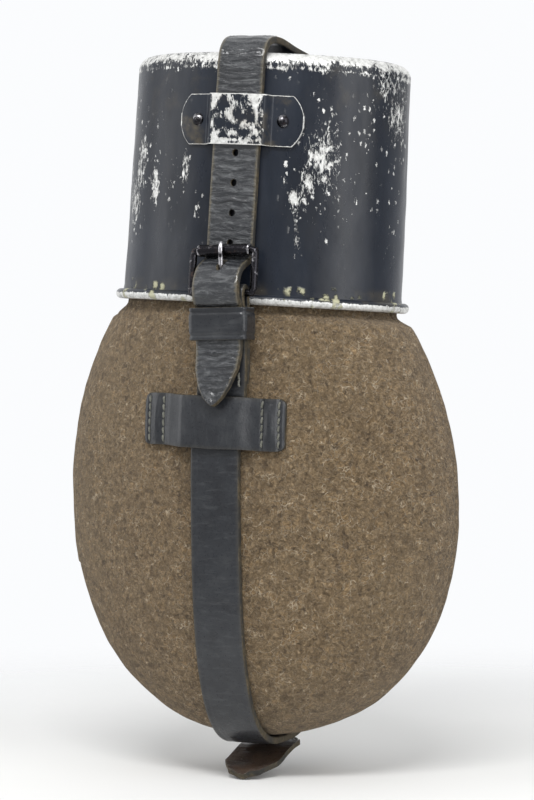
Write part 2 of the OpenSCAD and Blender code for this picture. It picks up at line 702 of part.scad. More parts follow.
// Front view of the hook above its eye: bottom bar, spine, bend and nose
module hook_outline() {
    difference() {
        union() {
            translate([0, bend_z]) circle(r = hook_out, $fn = 72);
            translate([0, eye_top - 2]) square([hook_out, bend_z - eye_top + 2]);
            translate([-hook_out, nose_z]) square([8, bend_z - nose_z]);
        }
        translate([0, bend_z]) circle(r = bend_r, $fn = 72);
        translate([-bend_r, eye_top + 4]) square([2 * bend_r, bend_z - eye_top - 4]);
        translate([-2 * hook_out, bend_z - 2 * hook_out])
            square([2 * hook_out, nose_z - bend_z + 2 * hook_out]);
    }
    translate([pin_x, eye_top - 2]) square([hook_out - pin_x, 4]);
    translate([pin_x, pin_z]) circle(r = 2.2);
    translate([pin_x - 2.2, eye_top - 2]) square([4.4, pin_z - eye_top + 2]);
}

module hook_body() {
    color(steel_colour) union() {
        rod_x(eye_r, 2 * eye_half, hook_y, hook_low);
        for (side = [-1, 1]) {
            translate([side * eye_half, hook_y, hook_low]) cylinder(r = eye_r, h = eye_top - hook_low);
            translate([side * eye_half, hook_y, hook_low]) sphere(r = eye_r);
        }
        difference() {
            translate([0, hook_y + hook_t / 2, 0]) rotate([90, 0, 0]) linear_extrude(hook_t) union() {
                hook_outline();
                translate([-eye_half - eye_r, eye_top - 2]) square([2 * (eye_half + eye_r), 3.5]);
            }
            rod_y(pin_r, hook_y - 5, hook_y + 5, pin_x, pin_z);
        }
    }
}

cheek_t = 0.8;
gate_half = hook_t / 2 + fit + cheek_t;

module hook_gate() {
    top = nose_z - 0.3 - pin_z;
    color(steel_colour) translate([pin_x, hook_y, pin_z]) difference() {
        union() {
            for (side = [-1, 1]) translate([0, side * (gate_half - cheek_t / 2), 0]) rotate([90, 0, 0])
                linear_extrude(cheek_t, center = true) union() {
                    circle(r = 2.2);
                    translate([-2.2, 0]) square([4.4, top]);
                }
            translate([-2.2, -gate_half, 2.8]) cube([cheek_t, 2 * gate_half, top - 2.8]);
        }
        rod_y(pin_r + 0.05, -5, 5, 0, 0);
    }
}

module hook_gate_pin() {
    color(bare_colour) {
        rod_y(pin_r, hook_y - gate_half - 0.3, hook_y + gate_half + 0.3, pin_x, pin_z);
    }
}

module hook_gate_spring() {
    color(bare_colour) translate([pin_x, hook_y, pin_z]) rotate([90, 0, 0]) for (k = [-1, 0, 1])
        translate([0, 0, k]) rotate([0, 0, -8]) rotate_extrude(angle = 196)
            translate([2.55, 0]) circle(r = 0.3, $fn = 16);
}

// ---------- tongue under the bottle ----------

tab_hinge = [9, -play - strap_t - 0.9];
rear_path = curve([tab_hinge - [0, 0.9], [4, -5.1], [-2, -6.2], [-10, -8.9], [-22, -12.4]]);

module rear_tab() {
    t = 2;
    color(leather_colour) intersection() {
        across(20) polygon(band(rear_path, t));
        translate([0, 0, -30]) linear_extrude(40) polygon([[-10, 12], [-10, -13], [-6, -21.5],
            [-3, -23.5], [3, -23.5], [6, -21.5], [10, -13], [10, 12]]);
    }
}

module rear_tab_stitches() {
    color(stitch_colour) for (x = [-7.5 : 3 : 7.5])
        translate([x, tab_hinge[0] + 0.7, tab_hinge[1] + 0.45])
            cube([1.8, 0.7, 0.8], center = true);
}

// ---------- assembly ----------

module at_buckle() {
    translate([buckle_x, 0, 0]) children();
}
module place() {
    translate(origin_shift) children();
}

place() bottle_shell();
place() neck_collar();
place() cover_front();
place() cover_back();
place() cover_snap_caps();
place() cover_snap_studs();
place() front_loop();
place() front_loop_stitches();
place() rear_loop();
place() rear_loop_stitches();
place() strap_lower();
place() chape_stitches();
place() at_buckle() buckle_frame();
place() at_buckle() buckle_roller();
place() at_buckle() buckle_prong();
place() at_buckle() strap_keeper();
place() strap_tail();
place() on_cup() strap_upper();
place() on_cup() cup_shell();
place() on_cup() cup_bracket();
place() on_cup() bracket_rivets();
place() stopper_cap();
place() stopper_gasket();
place() hook_tab();
place() hook_tab_rivet();
place() hook_body();
place() hook_gate();
place() hook_gate_pin();
place() hook_gate_spring();
place() rear_tab();
place() rear_tab_stitches();
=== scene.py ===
"""Looks of the felt-covered canteen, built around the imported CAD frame.

Shapes are worked out in millimetres in the flask's own frame: the neck's axis is x = y = 0,
the felt's lowest point is z = 0 and the front, with the buckle, is -y. on_frame() turns them
into the row frame's metres. The cup and what is fastened to it lean over, as on_cup() says.
"""
import json
import math

import bmesh
import bpy
import numpy as np
from mathutils import Matrix, Vector, noise


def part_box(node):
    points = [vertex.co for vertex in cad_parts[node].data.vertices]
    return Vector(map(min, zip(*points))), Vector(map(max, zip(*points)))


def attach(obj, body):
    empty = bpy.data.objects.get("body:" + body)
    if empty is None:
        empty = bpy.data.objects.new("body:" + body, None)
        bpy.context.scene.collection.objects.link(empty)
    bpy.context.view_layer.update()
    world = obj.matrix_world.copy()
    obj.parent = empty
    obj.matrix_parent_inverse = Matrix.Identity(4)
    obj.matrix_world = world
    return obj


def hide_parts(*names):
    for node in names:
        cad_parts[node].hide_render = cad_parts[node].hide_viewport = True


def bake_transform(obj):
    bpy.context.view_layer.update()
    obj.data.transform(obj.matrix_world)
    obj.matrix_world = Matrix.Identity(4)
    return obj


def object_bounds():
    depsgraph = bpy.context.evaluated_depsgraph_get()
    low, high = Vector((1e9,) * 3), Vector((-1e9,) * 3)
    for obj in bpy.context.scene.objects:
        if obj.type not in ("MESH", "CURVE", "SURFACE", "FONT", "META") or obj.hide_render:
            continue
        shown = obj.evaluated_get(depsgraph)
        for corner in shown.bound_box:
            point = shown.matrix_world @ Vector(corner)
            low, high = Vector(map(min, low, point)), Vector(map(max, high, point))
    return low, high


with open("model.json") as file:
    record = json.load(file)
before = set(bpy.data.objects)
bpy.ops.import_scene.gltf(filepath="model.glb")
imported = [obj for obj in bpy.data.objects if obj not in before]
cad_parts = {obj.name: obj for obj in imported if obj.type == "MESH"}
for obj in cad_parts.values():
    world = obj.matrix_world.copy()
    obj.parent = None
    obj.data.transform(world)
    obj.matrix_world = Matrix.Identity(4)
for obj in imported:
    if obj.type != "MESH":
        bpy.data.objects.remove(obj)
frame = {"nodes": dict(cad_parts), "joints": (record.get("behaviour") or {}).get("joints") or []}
cad_low, cad_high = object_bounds()

MM = 0.001
neck_low, neck_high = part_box("neck_collar")
ORIGIN = np.array([(neck_low.x + neck_high.x) / 2, (neck_low.y + neck_high.y) / 2,
                   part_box("cover_front")[0].z])
joints = {joint["name"]: joint for joint in frame["joints"]}


def mm_box(node):
    """Corners of a CAD node in the flask's own millimetres."""
    low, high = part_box(node)
    return (np.array(low) - ORIGIN) / MM, (np.array(high) - ORIGIN) / MM


# ---------- camera, light and floor ----------

CAMERA_AZIMUTH = math.radians(22.1)
CAMERA_HEIGHT = math.radians(0.5)
CAMERA_ROLL = math.radians(-0.54)
CAMERA_DISTANCE = 0.815
LENS = 101.475         # millimetres, on a sensor SENSOR wide
SENSOR = 36
CAMERA_SHIFT = 0.0059
LOOK_AT_HEIGHT = 0.120


def make_camera():
    target = Vector(ORIGIN) + Vector((0, 0, LOOK_AT_HEIGHT))
    back = Vector((math.sin(CAMERA_AZIMUTH) * math.cos(CAMERA_HEIGHT),
                   -math.cos(CAMERA_AZIMUTH) * math.cos(CAMERA_HEIGHT), math.sin(CAMERA_HEIGHT)))
    data = bpy.data.cameras.new("camera")
    data.sensor_width = SENSOR
    data.lens = LENS
    data.shift_x = CAMERA_SHIFT
    camera = bpy.data.objects.new("camera", data)
    bpy.context.scene.collection.objects.link(camera)
    turn = (-back).to_track_quat("-Z", "Y").to_matrix().to_4x4()
    camera.matrix_world = Matrix.Translation(target + CAMERA_DISTANCE * back) @ turn @ \
        Matrix.Rotation(CAMERA_ROLL, 4, "Z")
    bpy.context.scene.camera = camera


def area_light(name, place, aim, size, power, colour=(1, 1, 1)):
    data = bpy.data.lights.new(name, "AREA")
    data.shape = "RECTANGLE"
    data.size, data.size_y = size
    data.energy = power
    data.color = colour
    light = bpy.data.objects.new(name, data)
    light.location = place
    light.rotation_euler = (Vector(aim) - Vector(place)).to_track_quat("-Z", "Y").to_euler()
    bpy.context.scene.collection.objects.link(light)


def make_world():
    """White studio: brightest behind the object, dimmer towards the camera's side."""
    world = bpy.data.worlds.new("studio")
    world.use_nodes = True
    tree = world.node_tree
    direction = tree.nodes.new("ShaderNodeTexCoord").outputs["Generated"]
    behind = tree.nodes.new("ShaderNodeVectorMath")
    behind.operation = "DOT_PRODUCT"
    behind.inputs[1].default_value = (-math.sin(CAMERA_AZIMUTH), math.cos(CAMERA_AZIMUTH), 0)
    tree.links.new(direction, behind.inputs[0])
    level = tree.nodes.new("ShaderNodeMapRange")
    level.interpolation_type = "SMOOTHSTEP"
    for socket, value in (("From Min", -0.2), ("From Max", 0.85), ("To Min", 0.52), ("To Max", 0.99)):
        level.inputs[socket].default_value = value
    tree.links.new(behind.outputs["Value"], level.inputs["Value"])
    background = tree.nodes["Background"]
    background.inputs["Color"].default_value = (0.975, 0.985, 1.0, 1)
    tree.links.new(level.outputs[0], background.inputs["Strength"])
    bpy.context.scene.world = world
    bpy.context.scene.view_settings.view_transform = "Standard"


def floor_material():
    """White paper that fades away with distance, so that the sweep has no edge."""
    s = Shader("floor_paper")
    s.set(roughness=0.9, specular=0.1)
    at = s.coords()
    grain = s.noise(at, 3, 3)
    s.colour(s.ramp(grain, [(0.3, (0.78, 0.78, 0.765)), (0.7, (0.82, 0.82, 0.81))]))
    away = s.node("ShaderNodeVectorMath", {0: at}, operation="LENGTH").outputs["Value"]
    clear = s.node("ShaderNodeBsdfTransparent").outputs[0]
    blend = s.node("ShaderNodeMixShader", {0: s.steps(away, 0.10, 0.42), 1: s.bsdf.outputs[0], 2: clear})
    output = s.tree.nodes["Material Output"]
    s.tree.links.new(blend.outputs[0], output.inputs["Surface"])
    return s.material


def make_stage():
    middle = Vector(ORIGIN) + Vector((0, 0, LOOK_AT_HEIGHT))
    area_light("light_right", middle + Vector((0.80, -0.40, 0.30)), middle, (0.6, 1.0), 4.5)
    area_light("light_left", middle + Vector((-0.85, -0.45, 0.35)), middle, (0.6, 1.0), 2.8)
    area_light("light_top", middle + Vector((0.10, -0.62, 0.72)), middle, (0.55, 0.16), 6.0)
    make_world()
    floor_half = 0.5
    floor_z = cad_low.z - 0.0004
    mesh = bpy.data.meshes.new("floor")
    corners = [(-floor_half, -floor_half), (floor_half, -floor_half), (floor_half, floor_half),
               (-floor_half, floor_half)]
    mesh.from_pydata([(x, y, floor_z) for x, y in corners], [], [(0, 1, 2, 3)])
    floor = bpy.data.objects.new("floor", mesh)
    bpy.context.scene.collection.objects.link(floor)
    floor.data.materials.append(floor_material())


# ---------- materials ----------

class Shader:
    """Builds one procedural material, node by node."""

    def __init__(self, name):
        self.material = bpy.data.materials.new(name)
        self.material.use_nodes = True
        self.tree = self.material.node_tree
        self.bsdf = self.tree.nodes["Principled BSDF"]

    def set(self, roughness=0.5, metallic=0.0, specular=0.5, sheen=0.0, sheen_roughness=0.5,
            coat=0.0, coat_roughness=0.2):
        values = {"Roughness": roughness, "Metallic": metallic, "Specular IOR Level": specular,
                  "Sheen Weight": sheen, "Sheen Roughness": sheen_roughness, "Coat Weight": coat,
                  "Coat Roughness": coat_roughness}
        for socket, value in values.items():
            self.bsdf.inputs[socket].default_value = value

    def node(self, kind, inputs=None, **settings):
        node = self.tree.nodes.new(kind)
        for key, value in settings.items():
            setattr(node, key, value)
        for key, value in (inputs or {}).items():
            if isinstance(value, bpy.types.NodeSocket):
                self.tree.links.new(value, node.inputs[key])
            else:
                node.inputs[key].default_value = value
        return node

    def coords(self, scale=(1, 1, 1)):
        source = self.node("ShaderNodeTexCoord").outputs["Object"]
        return self.node("ShaderNodeMapping", {"Vector": source, "Scale": scale}).outputs[0]

    def attribute(self, name):
        return self.node("ShaderNodeAttribute", attribute_name=name).outputs["Fac"]

    def flow(self, across, along):
        """Coordinates that follow a strap: across its width and along its length, in metres."""
        parts = {"X": self.math("MULTIPLY", self.attribute("across"), across * STRAP_HALF * MM),
                 "Y": self.math("MULTIPLY", self.attribute("along"), along)}
        return self.node("ShaderNodeCombineXYZ", parts).outputs[0]

    def noise(self, vector, scale, detail=4, rough=0.5, distortion=0.0, out="Fac"):
        inputs = {"Vector": vector, "Scale": scale, "Detail": detail, "Roughness": rough,
                  "Distortion": distortion}
        return self.node("ShaderNodeTexNoise", inputs).outputs[out]

    def cells(self, vector, scale, feature="F1", out="Distance"):
        node = self.node("ShaderNodeTexVoronoi", {"Vector": vector, "Scale": scale}, feature=feature)
        return node.outputs[out]

    def math(self, operation, a, b=0.0, clamp=False):
        return self.node("ShaderNodeMath", {0: a, 1: b}, operation=operation, use_clamp=clamp).outputs[0]

    def steps(self, value, low, high, to_low=0.0, to_high=1.0):
        inputs = {"Value": value, "From Min": low, "From Max": high, "To Min": to_low, "To Max": to_high}
        return self.node("ShaderNodeMapRange", inputs, interpolation_type="SMOOTHSTEP").outputs[0]

    def specks(self, vector, scale, share, size):
        """Scattered specks: share of the cells hold one, up to size across in cells."""
        node = self.node("ShaderNodeTexVoronoi", {"Vector": vector, "Scale": scale})
        luck = self.node("ShaderNodeSeparateColor", {"Color": node.outputs["Color"]}).outputs[0]
        reach = self.math("MULTIPLY", self.steps(luck, 1 - share, 1.0), size)
        return self.steps(self.math("SUBTRACT", reach, node.outputs["Distance"]), 0.0, 0.03)

    def ramp(self, factor, stops):
        node = self.node("ShaderNodeValToRGB", {"Fac": factor})
        elements = node.color_ramp.elements
        while len(elements) < len(stops):
            elements.new(0.5)
        for element, (place, colour) in zip(elements, stops):
            element.position = place
            element.color = (*colour, 1)
        return node.outputs["Color"]

    def mix(self, factor, a, b, blend="MIX"):
        node = self.tree.nodes.new("ShaderNodeMix")
        node.data_type = "RGBA"
        node.blend_type = blend
        for socket, value in ((node.inputs[0], factor), (node.inputs[6], a), (node.inputs[7], b)):
            if isinstance(value, bpy.types.NodeSocket):
                self.tree.links.new(value, socket)
            else:
                socket.default_value = (*value, 1) if isinstance(value, tuple) else value
        return node.outputs[2]

    def shifted(self, vector, by, amount):
        """vector pushed about by a colour noise, for wandering lines."""
        pushed = self.node("ShaderNodeVectorMath", {0: by, 1: (0.5, 0.5, 0.5)}, operation="SUBTRACT")
        scaled = self.node("ShaderNodeVectorMath", {0: pushed.outputs[0], "Scale": amount},
                           operation="SCALE")
        return self.node("ShaderNodeVectorMath", {0: vector, 1: scaled.outputs[0]},
                         operation="ADD").outputs[0]

    def colour(self, socket):
        self.tree.links.new(socket, self.bsdf.inputs["Base Color"])

    def roughness(self, socket):
        self.tree.links.new(socket, self.bsdf.inputs["Roughness"])

    def metallic(self, socket):
        self.tree.links.new(socket, self.bsdf.inputs["Metallic"])

    def bump(self, height, distance, strength=1.0, under=None):
        inputs = {"Height": height, "Distance": distance, "Strength": strength}
        if under is not None:
            inputs["Normal"] = under
        normal = self.node("ShaderNodeBump", inputs).outputs[0]
        self.tree.links.new(normal, self.bsdf.inputs["Normal"])
        return normal


def felt_material():
    """Heather-brown wool felt: matted fibres, pale hairs and darker clumps."""
    s = Shader("wool_felt")
    s.set(roughness=0.95, specular=0.12, sheen=0.12, sheen_roughness=0.5)
    at = s.coords()
    clumps = s.noise(at, 260, 5, 0.72)
    matting = s.noise(at, 760, 6, 0.84, 0.9)
    wander = s.shifted(at, s.noise(at, 190, 2, 0.5, out="Color"), 0.010)
    hairs = s.cells(wander, 300, "DISTANCE_TO_EDGE")
    fine_wander = s.shifted(at, s.noise(at, 520, 2, 0.5, out="Color"), 0.005)
    fine_hairs = s.cells(fine_wander, 720, "DISTANCE_TO_EDGE")
    base = s.ramp(matting, [(0.32, (0.034, 0.024, 0.015)), (0.44, (0.112, 0.079, 0.045)),
                            (0.57, (0.235, 0.172, 0.102)), (0.70, (0.480, 0.375, 0.245))])
    tint = s.ramp(clumps, [(0.34, (0.62, 0.58, 0.56)), (0.5, (1.0, 0.97, 0.93)), (0.66, (1.28, 1.16, 0.98))])
    base = s.mix(0.80, base, tint, "MULTIPLY")
    patches = s.noise(at, 14, 3, 0.6)
    base = s.mix(s.steps(patches, 0.35, 0.7, 0.0, 0.14), base, (0.26, 0.20, 0.12))
    hair_mask = s.math("MULTIPLY", s.steps(hairs, 0.0, 0.05, 1.0, 0.0),
                       s.steps(s.noise(at, 260, 2), 0.47, 0.58))
    base = s.mix(s.math("MULTIPLY", hair_mask, 0.72), base, (0.60, 0.49, 0.35))
    fine_mask = s.math("MULTIPLY", s.steps(fine_hairs, 0.0, 0.09, 1.0, 0.0),
                       s.steps(s.noise(at, 600, 2), 0.42, 0.6))
    base = s.mix(s.math("MULTIPLY", fine_mask, 0.50), base, (0.44, 0.34, 0.22))
    dark_mask = s.specks(fine_wander, 430, 0.45, 0.42)
    base = s.mix(s.math("MULTIPLY", dark_mask, 0.55), base, (0.045, 0.030, 0.020))
    s.colour(base)
    height = s.math("ADD", matting, s.math("MULTIPLY", hair_mask, 0.5))
    s.bump(s.math("ADD", height, s.math("MULTIPLY", fine_mask, 0.3)), 0.0008, 1.0)
    return s.material


def paint_material(name, wear_bias=0.0, rust=0.0):
    """Black enamel over aluminium, chipped to bare metal where the wear attribute is high."""
    s = Shader(name)
    s.set(roughness=0.4, specular=0.42)
    tall = s.coords((1, 1, 0.42))
    at = s.coords()
    wear = s.math("ADD", s.attribute("wear"), wear_bias)
    chips = s.noise(tall, 980, 8, 0.80, 0.6)
    flakes = s.noise(tall, 230, 6, 0.66, 0.5)
    pattern = s.math("ADD", s.math("MULTIPLY", chips, 0.68), s.math("MULTIPLY", flakes, 0.32))
    limit = s.math("SUBTRACT", 0.698, s.math("MULTIPLY", wear, 0.238))
    over = s.math("SUBTRACT", pattern, limit)
    ragged = s.shifted(s.coords((1, 1, 0.6)), s.noise(at, 1300, 4, 0.7, out="Color"), 0.0022)
    small = s.specks(ragged, 760, 0.30, 0.38)
    large = s.specks(ragged, 300, 0.08, 0.26)
    scattered = s.math("MULTIPLY", s.math("MAXIMUM", small, large), s.steps(wear, 0.12, 0.36))
    bare = s.math("MAXIMUM", s.steps(over, 0.0, 0.010), scattered)
    fringe = s.steps(over, -0.022, 0.0)
    haze = s.noise(s.coords((1, 1, 0.35)), 40, 5, 0.62)
    enamel = s.ramp(haze, [(0.3, (0.005, 0.007, 0.012)), (0.55, (0.009, 0.013, 0.022)),
                           (0.8, (0.022, 0.028, 0.042))])
    grime = s.noise(at, 90, 4, 0.6)
    stained = s.math("MULTIPLY", s.steps(grime, 0.5, 0.7), s.attribute("stain"))
    enamel = s.mix(s.math("MULTIPLY", stained, 0.75), enamel, (0.085, 0.070, 0.045))
    enamel = s.mix(s.math("MULTIPLY", fringe, 0.35), enamel, (0.10, 0.10, 0.095))
    metal = s.ramp(s.noise(at, 700, 4, 0.7), [(0.3, (0.42, 0.42, 0.40)), (0.5, (0.70, 0.70, 0.68)),
                                              (0.7, (0.86, 0.86, 0.84))])
    if rust:
        metal = s.mix(s.math("MULTIPLY", s.steps(grime, 0.45, 0.7), rust), metal, (0.30, 0.24, 0.15))
    crust = s.math("MULTIPLY", s.steps(s.cells(ragged, 340), 0.50, 0.30),
                   s.steps(s.attribute("crust"), 0.25, 0.60))
    surface = s.mix(bare, enamel, metal)
    s.colour(s.mix(s.math("MULTIPLY", crust, 0.9), surface, (0.46, 0.45, 0.30)))
    s.metallic(s.math("MULTIPLY", bare, s.math("SUBTRACT", 0.55, s.math("MULTIPLY", crust, 0.55))))
    smear = s.noise(s.coords((1, 1, 0.3)), 120, 6, 0.7)
    gloss = s.steps(smear, 0.3, 0.75, 0.24, 0.46)
    s.roughness(s.math("ADD", gloss, s.math("MULTIPLY", s.math("MAXIMUM", bare, crust), 0.22)))
    orange_peel = s.bump(s.noise(at, 260, 3, 0.5), 0.00012, 0.35)
    dulling = s.bump(s.noise(at, 1500, 4, 0.6), 0.00004, 0.4, orange_peel)
    lifted = s.math("SUBTRACT", s.math("MULTIPLY", crust, 2.0), bare)
    s.bump(lifted, 0.00025, 0.8, dulling)
    return s.material


def leather_material(name, wear_and_sheen=0.35, brown=0.0, gloss=0.0):
    """Black bridle leather: fine grain, cross creases, rubbed edges and dull rubbed spots, with a painted
    sheen that lightens the base where the strap's wear attribute is high.
    """
    s = Shader(name)
    s.set(roughness=0.40, specular=0.42, coat=0.22 + gloss, coat_roughness=0.16)
    at = s.coords()
    lengthwise = s.flow(0.35, 1.6)
    pores = s.cells(at, 1500)
    grain = s.noise(at, 1100, 5, 0.65)
    blotches = s.noise(at, 120, 5, 0.62)
    scuffs = s.noise(lengthwise, 420, 7, 0.70, 0.6)
    base = s.ramp(blotches, [(0.3, (0.011, 0.012, 0.015)), (0.55, (0.018, 0.020, 0.024)),
                             (0.8, (0.032, 0.034, 0.037))])
    faded = s.math("ADD", s.attribute("wear_and_sheen"), wear_and_sheen)
    rubbed = s.math("MULTIPLY", s.steps(scuffs, 0.50, 0.66), faded, clamp=True)
    base = s.mix(s.math("MULTIPLY", rubbed, 0.66), base, (0.160, 0.166, 0.170))
    # painted sheen: the base is lightened where the strap's wear attribute is high, standing in for the
    # glossy light on the upper strap
    base = s.mix(s.math("MULTIPLY", s.attribute("wear_and_sheen"), 0.14, clamp=True), base, (0.070, 0.074, 0.078))
    rim = s.steps(s.math("ADD", s.math("ABSOLUTE", s.attribute("across")), s.math("MULTIPLY", grain, 0.24)),
                  0.95, 1.10)
    base = s.mix(s.math("MULTIPLY", rim, s.math("ADD", s.attribute("wear_and_sheen"), 0.10), clamp=True), base,
                 (0.105, 0.088, 0.055))
    if brown:
        base = s.mix(s.steps(blotches, 0.35, 0.65, brown * 0.5, brown), base, (0.085, 0.052, 0.032))
    s.colour(base)
    s.roughness(s.steps(s.math("ADD", grain, s.math("MULTIPLY", rubbed, 0.35)), 0.3, 0.95, 0.26, 0.56))
    creases = s.noise(s.flow(0.28, 1.0), 430, 5, 0.60, 0.5)
    depth = s.math("ADD", s.math("MULTIPLY", s.attribute("wear_and_sheen"), 0.95), 0.08, clamp=True)
    first = s.bump(creases, 0.0016, depth)
    s.bump(s.math("ADD", s.math("MULTIPLY", pores, 0.5), grain), 0.00012, 0.5, first)
    return s.material


def cut_edge_material():
    """Raw brown cut edge of the leather, dyed dark in places."""
    s = Shader("leather_cut_edge")
    s.set(roughness=0.75, specular=0.25)
    layers = s.noise(s.coords(), 800, 5, 0.7)
    dye = s.noise(s.coords(), 130, 4, 0.65)
    brown = s.ramp(layers, [(0.3, (0.030, 0.025, 0.016)), (0.55, (0.085, 0.068, 0.042)),
                            (0.75, (0.160, 0.130, 0.088))])
    s.colour(s.mix(s.steps(dye, 0.40, 0.62, 0.0, 0.85), brown, (0.028, 0.029, 0.029)))
    s.bump(layers, 0.00025, 0.8)
    return s.material


def thread_material():
    """Waxed linen thread, grey-beige and dirty, with the twist of its strands."""
    s = Shader("waxed_thread")
    s.set(roughness=0.8, specular=0.2, sheen=0.2)
    at = s.coords()
    wave = {"Vector": at, "Scale": 900, "Distortion": 1.5}
    twist = s.node("ShaderNodeTexWave", wave, bands_direction="DIAGONAL").outputs["Fac"]
    dirt = s.noise(at, 380, 4, 0.6)
    base = s.ramp(dirt, [(0.3, (0.085, 0.085, 0.070)), (0.55, (0.190, 0.190, 0.160)),
                         (0.8, (0.310, 0.300, 0.250))])
    s.colour(s.mix(s.math("MULTIPLY", twist, 0.35), base, (0.07, 0.07, 0.06)))
    s.bump(twist, 0.0002, 0.8)
    return s.material


def steel_material(name, dark=(0.030, 0.029, 0.033), bright=(0.50, 0.49, 0.51), rubbed=0.2, rust=0.3):
    """Blackened steel, rubbed bright on what stands proud, with a little rust."""
    s = Shader(name)
    s.set(roughness=0.3, metallic=1.0, specular=0.5)
    at = s.coords()
    patina = s.noise(at, 260, 6, 0.66, 0.4)
    fine = s.noise(at, 1400, 4, 0.6)
    proud = s.math("ADD", patina, s.math("MULTIPLY", s.attribute("wear"), 0.22))
    shine = s.steps(proud, 0.68 - 0.2 * rubbed, 0.84 - 0.2 * rubbed)
    base = s.mix(shine, dark, bright)
    rusty = s.math("MULTIPLY", s.steps(s.noise(at, 480, 5, 0.7), 0.56, 0.7), rust)
    s.colour(s.mix(rusty, base, (0.11, 0.055, 0.030)))
    s.metallic(s.math("SUBTRACT", 1.0, s.math("MULTIPLY", rusty, 0.8)))
    s.roughness(s.math("ADD", s.steps(fine, 0.3, 0.7, 0.20, 0.36), s.math("MULTIPLY", rusty, 0.35)))
    s.bump(s.math("ADD", patina, s.math("MULTIPLY", fine, 0.4)), 0.00012, 0.6)
    return s.material


def aluminium_material():
    """Bare spun aluminium with fine turning marks and grey oxide."""
    s = Shader("bare_aluminium")
    s.set(roughness=0.4, metallic=1.0)
    rings = s.noise(s.coords((0.1, 0.1, 1)), 1600, 3, 0.6)
    oxide = s.noise(s.coords(), 90, 5, 0.62)
    base = s.ramp(oxide, [(0.3, (0.42, 0.42, 0.43)), (0.55, (0.62, 0.62, 0.63)), (0.8, (0.74, 0.74, 0.74))])
    s.colour(s.mix(s.math("MULTIPLY", rings, 0.3), base, (0.38, 0.38, 0.39)))
    s.roughness(s.steps(oxide, 0.3, 0.7, 0.32, 0.52))
    s.bump(rings, 0.00008, 0.5)
    return s.material


def cork_material():
    """Cork gasket: tan, with dark lenticels."""
    s = Shader("cork_gasket")
    s.set(roughness=0.85, specular=0.2)
    at = s.coords()
    grains = s.cells(at, 700, out="Color")
    pits = s.steps(s.noise(at, 600, 4, 0.7), 0.58, 0.66)
    tan = s.ramp(s.noise(at, 300, 3), [(0.3, (0.24, 0.14, 0.075)), (0.7, (0.42, 0.27, 0.15))])
    base = s.mix(0.3, tan, grains, "SOFT_LIGHT")
    s.colour(s.mix(pits, base, (0.07, 0.035, 0.02)))
    s.bump(pits, 0.0003, -0.8)
    return s.material


# ---------- mesh building ----------

def on_frame(points):
    return ORIGIN + MM * np.asarray(points, float)


def grid_faces(rows, cols, wrap=False, first=0, turn=False):
    faces = []
    for i in range(rows - 1):
        for j in range(cols if wrap else cols - 1):
            k = (j + 1) % cols
            low, high = first + i * cols, first + (i + 1) * cols
            face = [low + j, low + k, high + k, high + j]
            faces.append(face[::-1] if turn else face)
    return faces


def closed_tube(rows, cols):
    """Faces of rows of points that go round, with both ends capped."""
    caps = [list(range(cols)), list(range((rows - 1) * cols, rows * cols))]
    return grid_faces(rows, cols, wrap=True) + caps


def looped_tube(rows, cols):
    """Faces of rows of points that go round, with the last row joined to the first."""
    last = (rows - 1) * cols
    joint = [[last + j, last + (j + 1) % cols, (j + 1) % cols, j] for j in range(cols)]
    return grid_faces(rows, cols, wrap=True) + joint


def closed_sheet(rows, width):
    """Faces between two facing grids of points, and their material slots: the border has slot 1."""
    count = rows * width
    faces = grid_faces(rows, width) + grid_faces(rows, width, first=count, turn=True)
    border = [(i * width + j, (i + 1) * width + j) for i in range(rows - 1) for j in (0, width - 1)]
    border += [(i * width + j, i * width + j + 1) for i in (0, rows - 1) for j in range(width - 1)]
    slots = [0] * len(faces) + [1] * len(border)
    return faces + [[a, b, count + b, count + a] for a, b in border], slots


def placed(name, mesh, body, stands_for):
    """A mesh as an object of the scene, riding on a body."""
    piece = bpy.data.objects.new(name, mesh)
    bpy.context.scene.collection.objects.link(piece)
    if body:
        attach(piece, body)
    if stands_for:
        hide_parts(*stands_for)
    return piece


def make_piece(name, points, faces, materials, body="root", face_slots=None, values=None,
               sharp=40, stands_for=()):
    """A mesh object from millimetre points, riding on a body. values are its point attributes."""
    mesh = bpy.data.meshes.new(name)
    mesh.from_pydata([tuple(p) for p in on_frame(points)], [], faces)
    for key, numbers in (values or {}).items():
        attribute = mesh.attributes.new(key, "FLOAT", "POINT")
        attribute.data.foreach_set("value", np.asarray(numbers, np.float32))
    for material in materials:
        mesh.materials.append(material)
    if face_slots is not None:
        mesh.polygons.foreach_set("material_index", np.asarray(face_slots, np.int32))
    shape = bmesh.new()
    shape.from_mesh(mesh)
    bmesh.ops.recalc_face_normals(shape, faces=shape.faces)
    shape.to_mesh(mesh)
    shape.free()
    mesh.polygons.foreach_set("use_smooth", [True] * len(mesh.polygons))
    mesh.set_sharp_from_angle(angle=math.radians(sharp))
    mesh.update()
    return placed(name, mesh, body, stands_for)


def applied(piece):
    """Applies a piece's modifiers."""
    graph = bpy.context.evaluated_depsgraph_get()
    mesh = bpy.data.meshes.new_from_object(piece.evaluated_get(graph), preserve_all_data_layers=True,
                                           depsgraph=graph)
    piece.modifiers.clear()
    old = piece.data
    piece.data = mesh
    bpy.data.meshes.remove(old)
    return piece


def bevelled(piece, width):
    """Rounds a piece's sharp edges by width millimetres."""
    rounding = piece.modifiers.new("edge", "BEVEL")
    rounding.width = width * MM
    rounding.segments = 2
    rounding.limit_method = "ANGLE"
    rounding.angle_limit = math.radians(50)
    return applied(piece)


def cut(piece, cutters):
    """Cuts cutter objects out of a piece and removes them."""
    for cutter in cutters:
        step = piece.modifiers.new("cut", "BOOLEAN")
        step.operation = "DIFFERENCE"
        step.solver = "EXACT"
        step.object = cutter
        applied(piece)
    for cutter in cutters:
        bpy.data.objects.remove(cutter)
    return piece


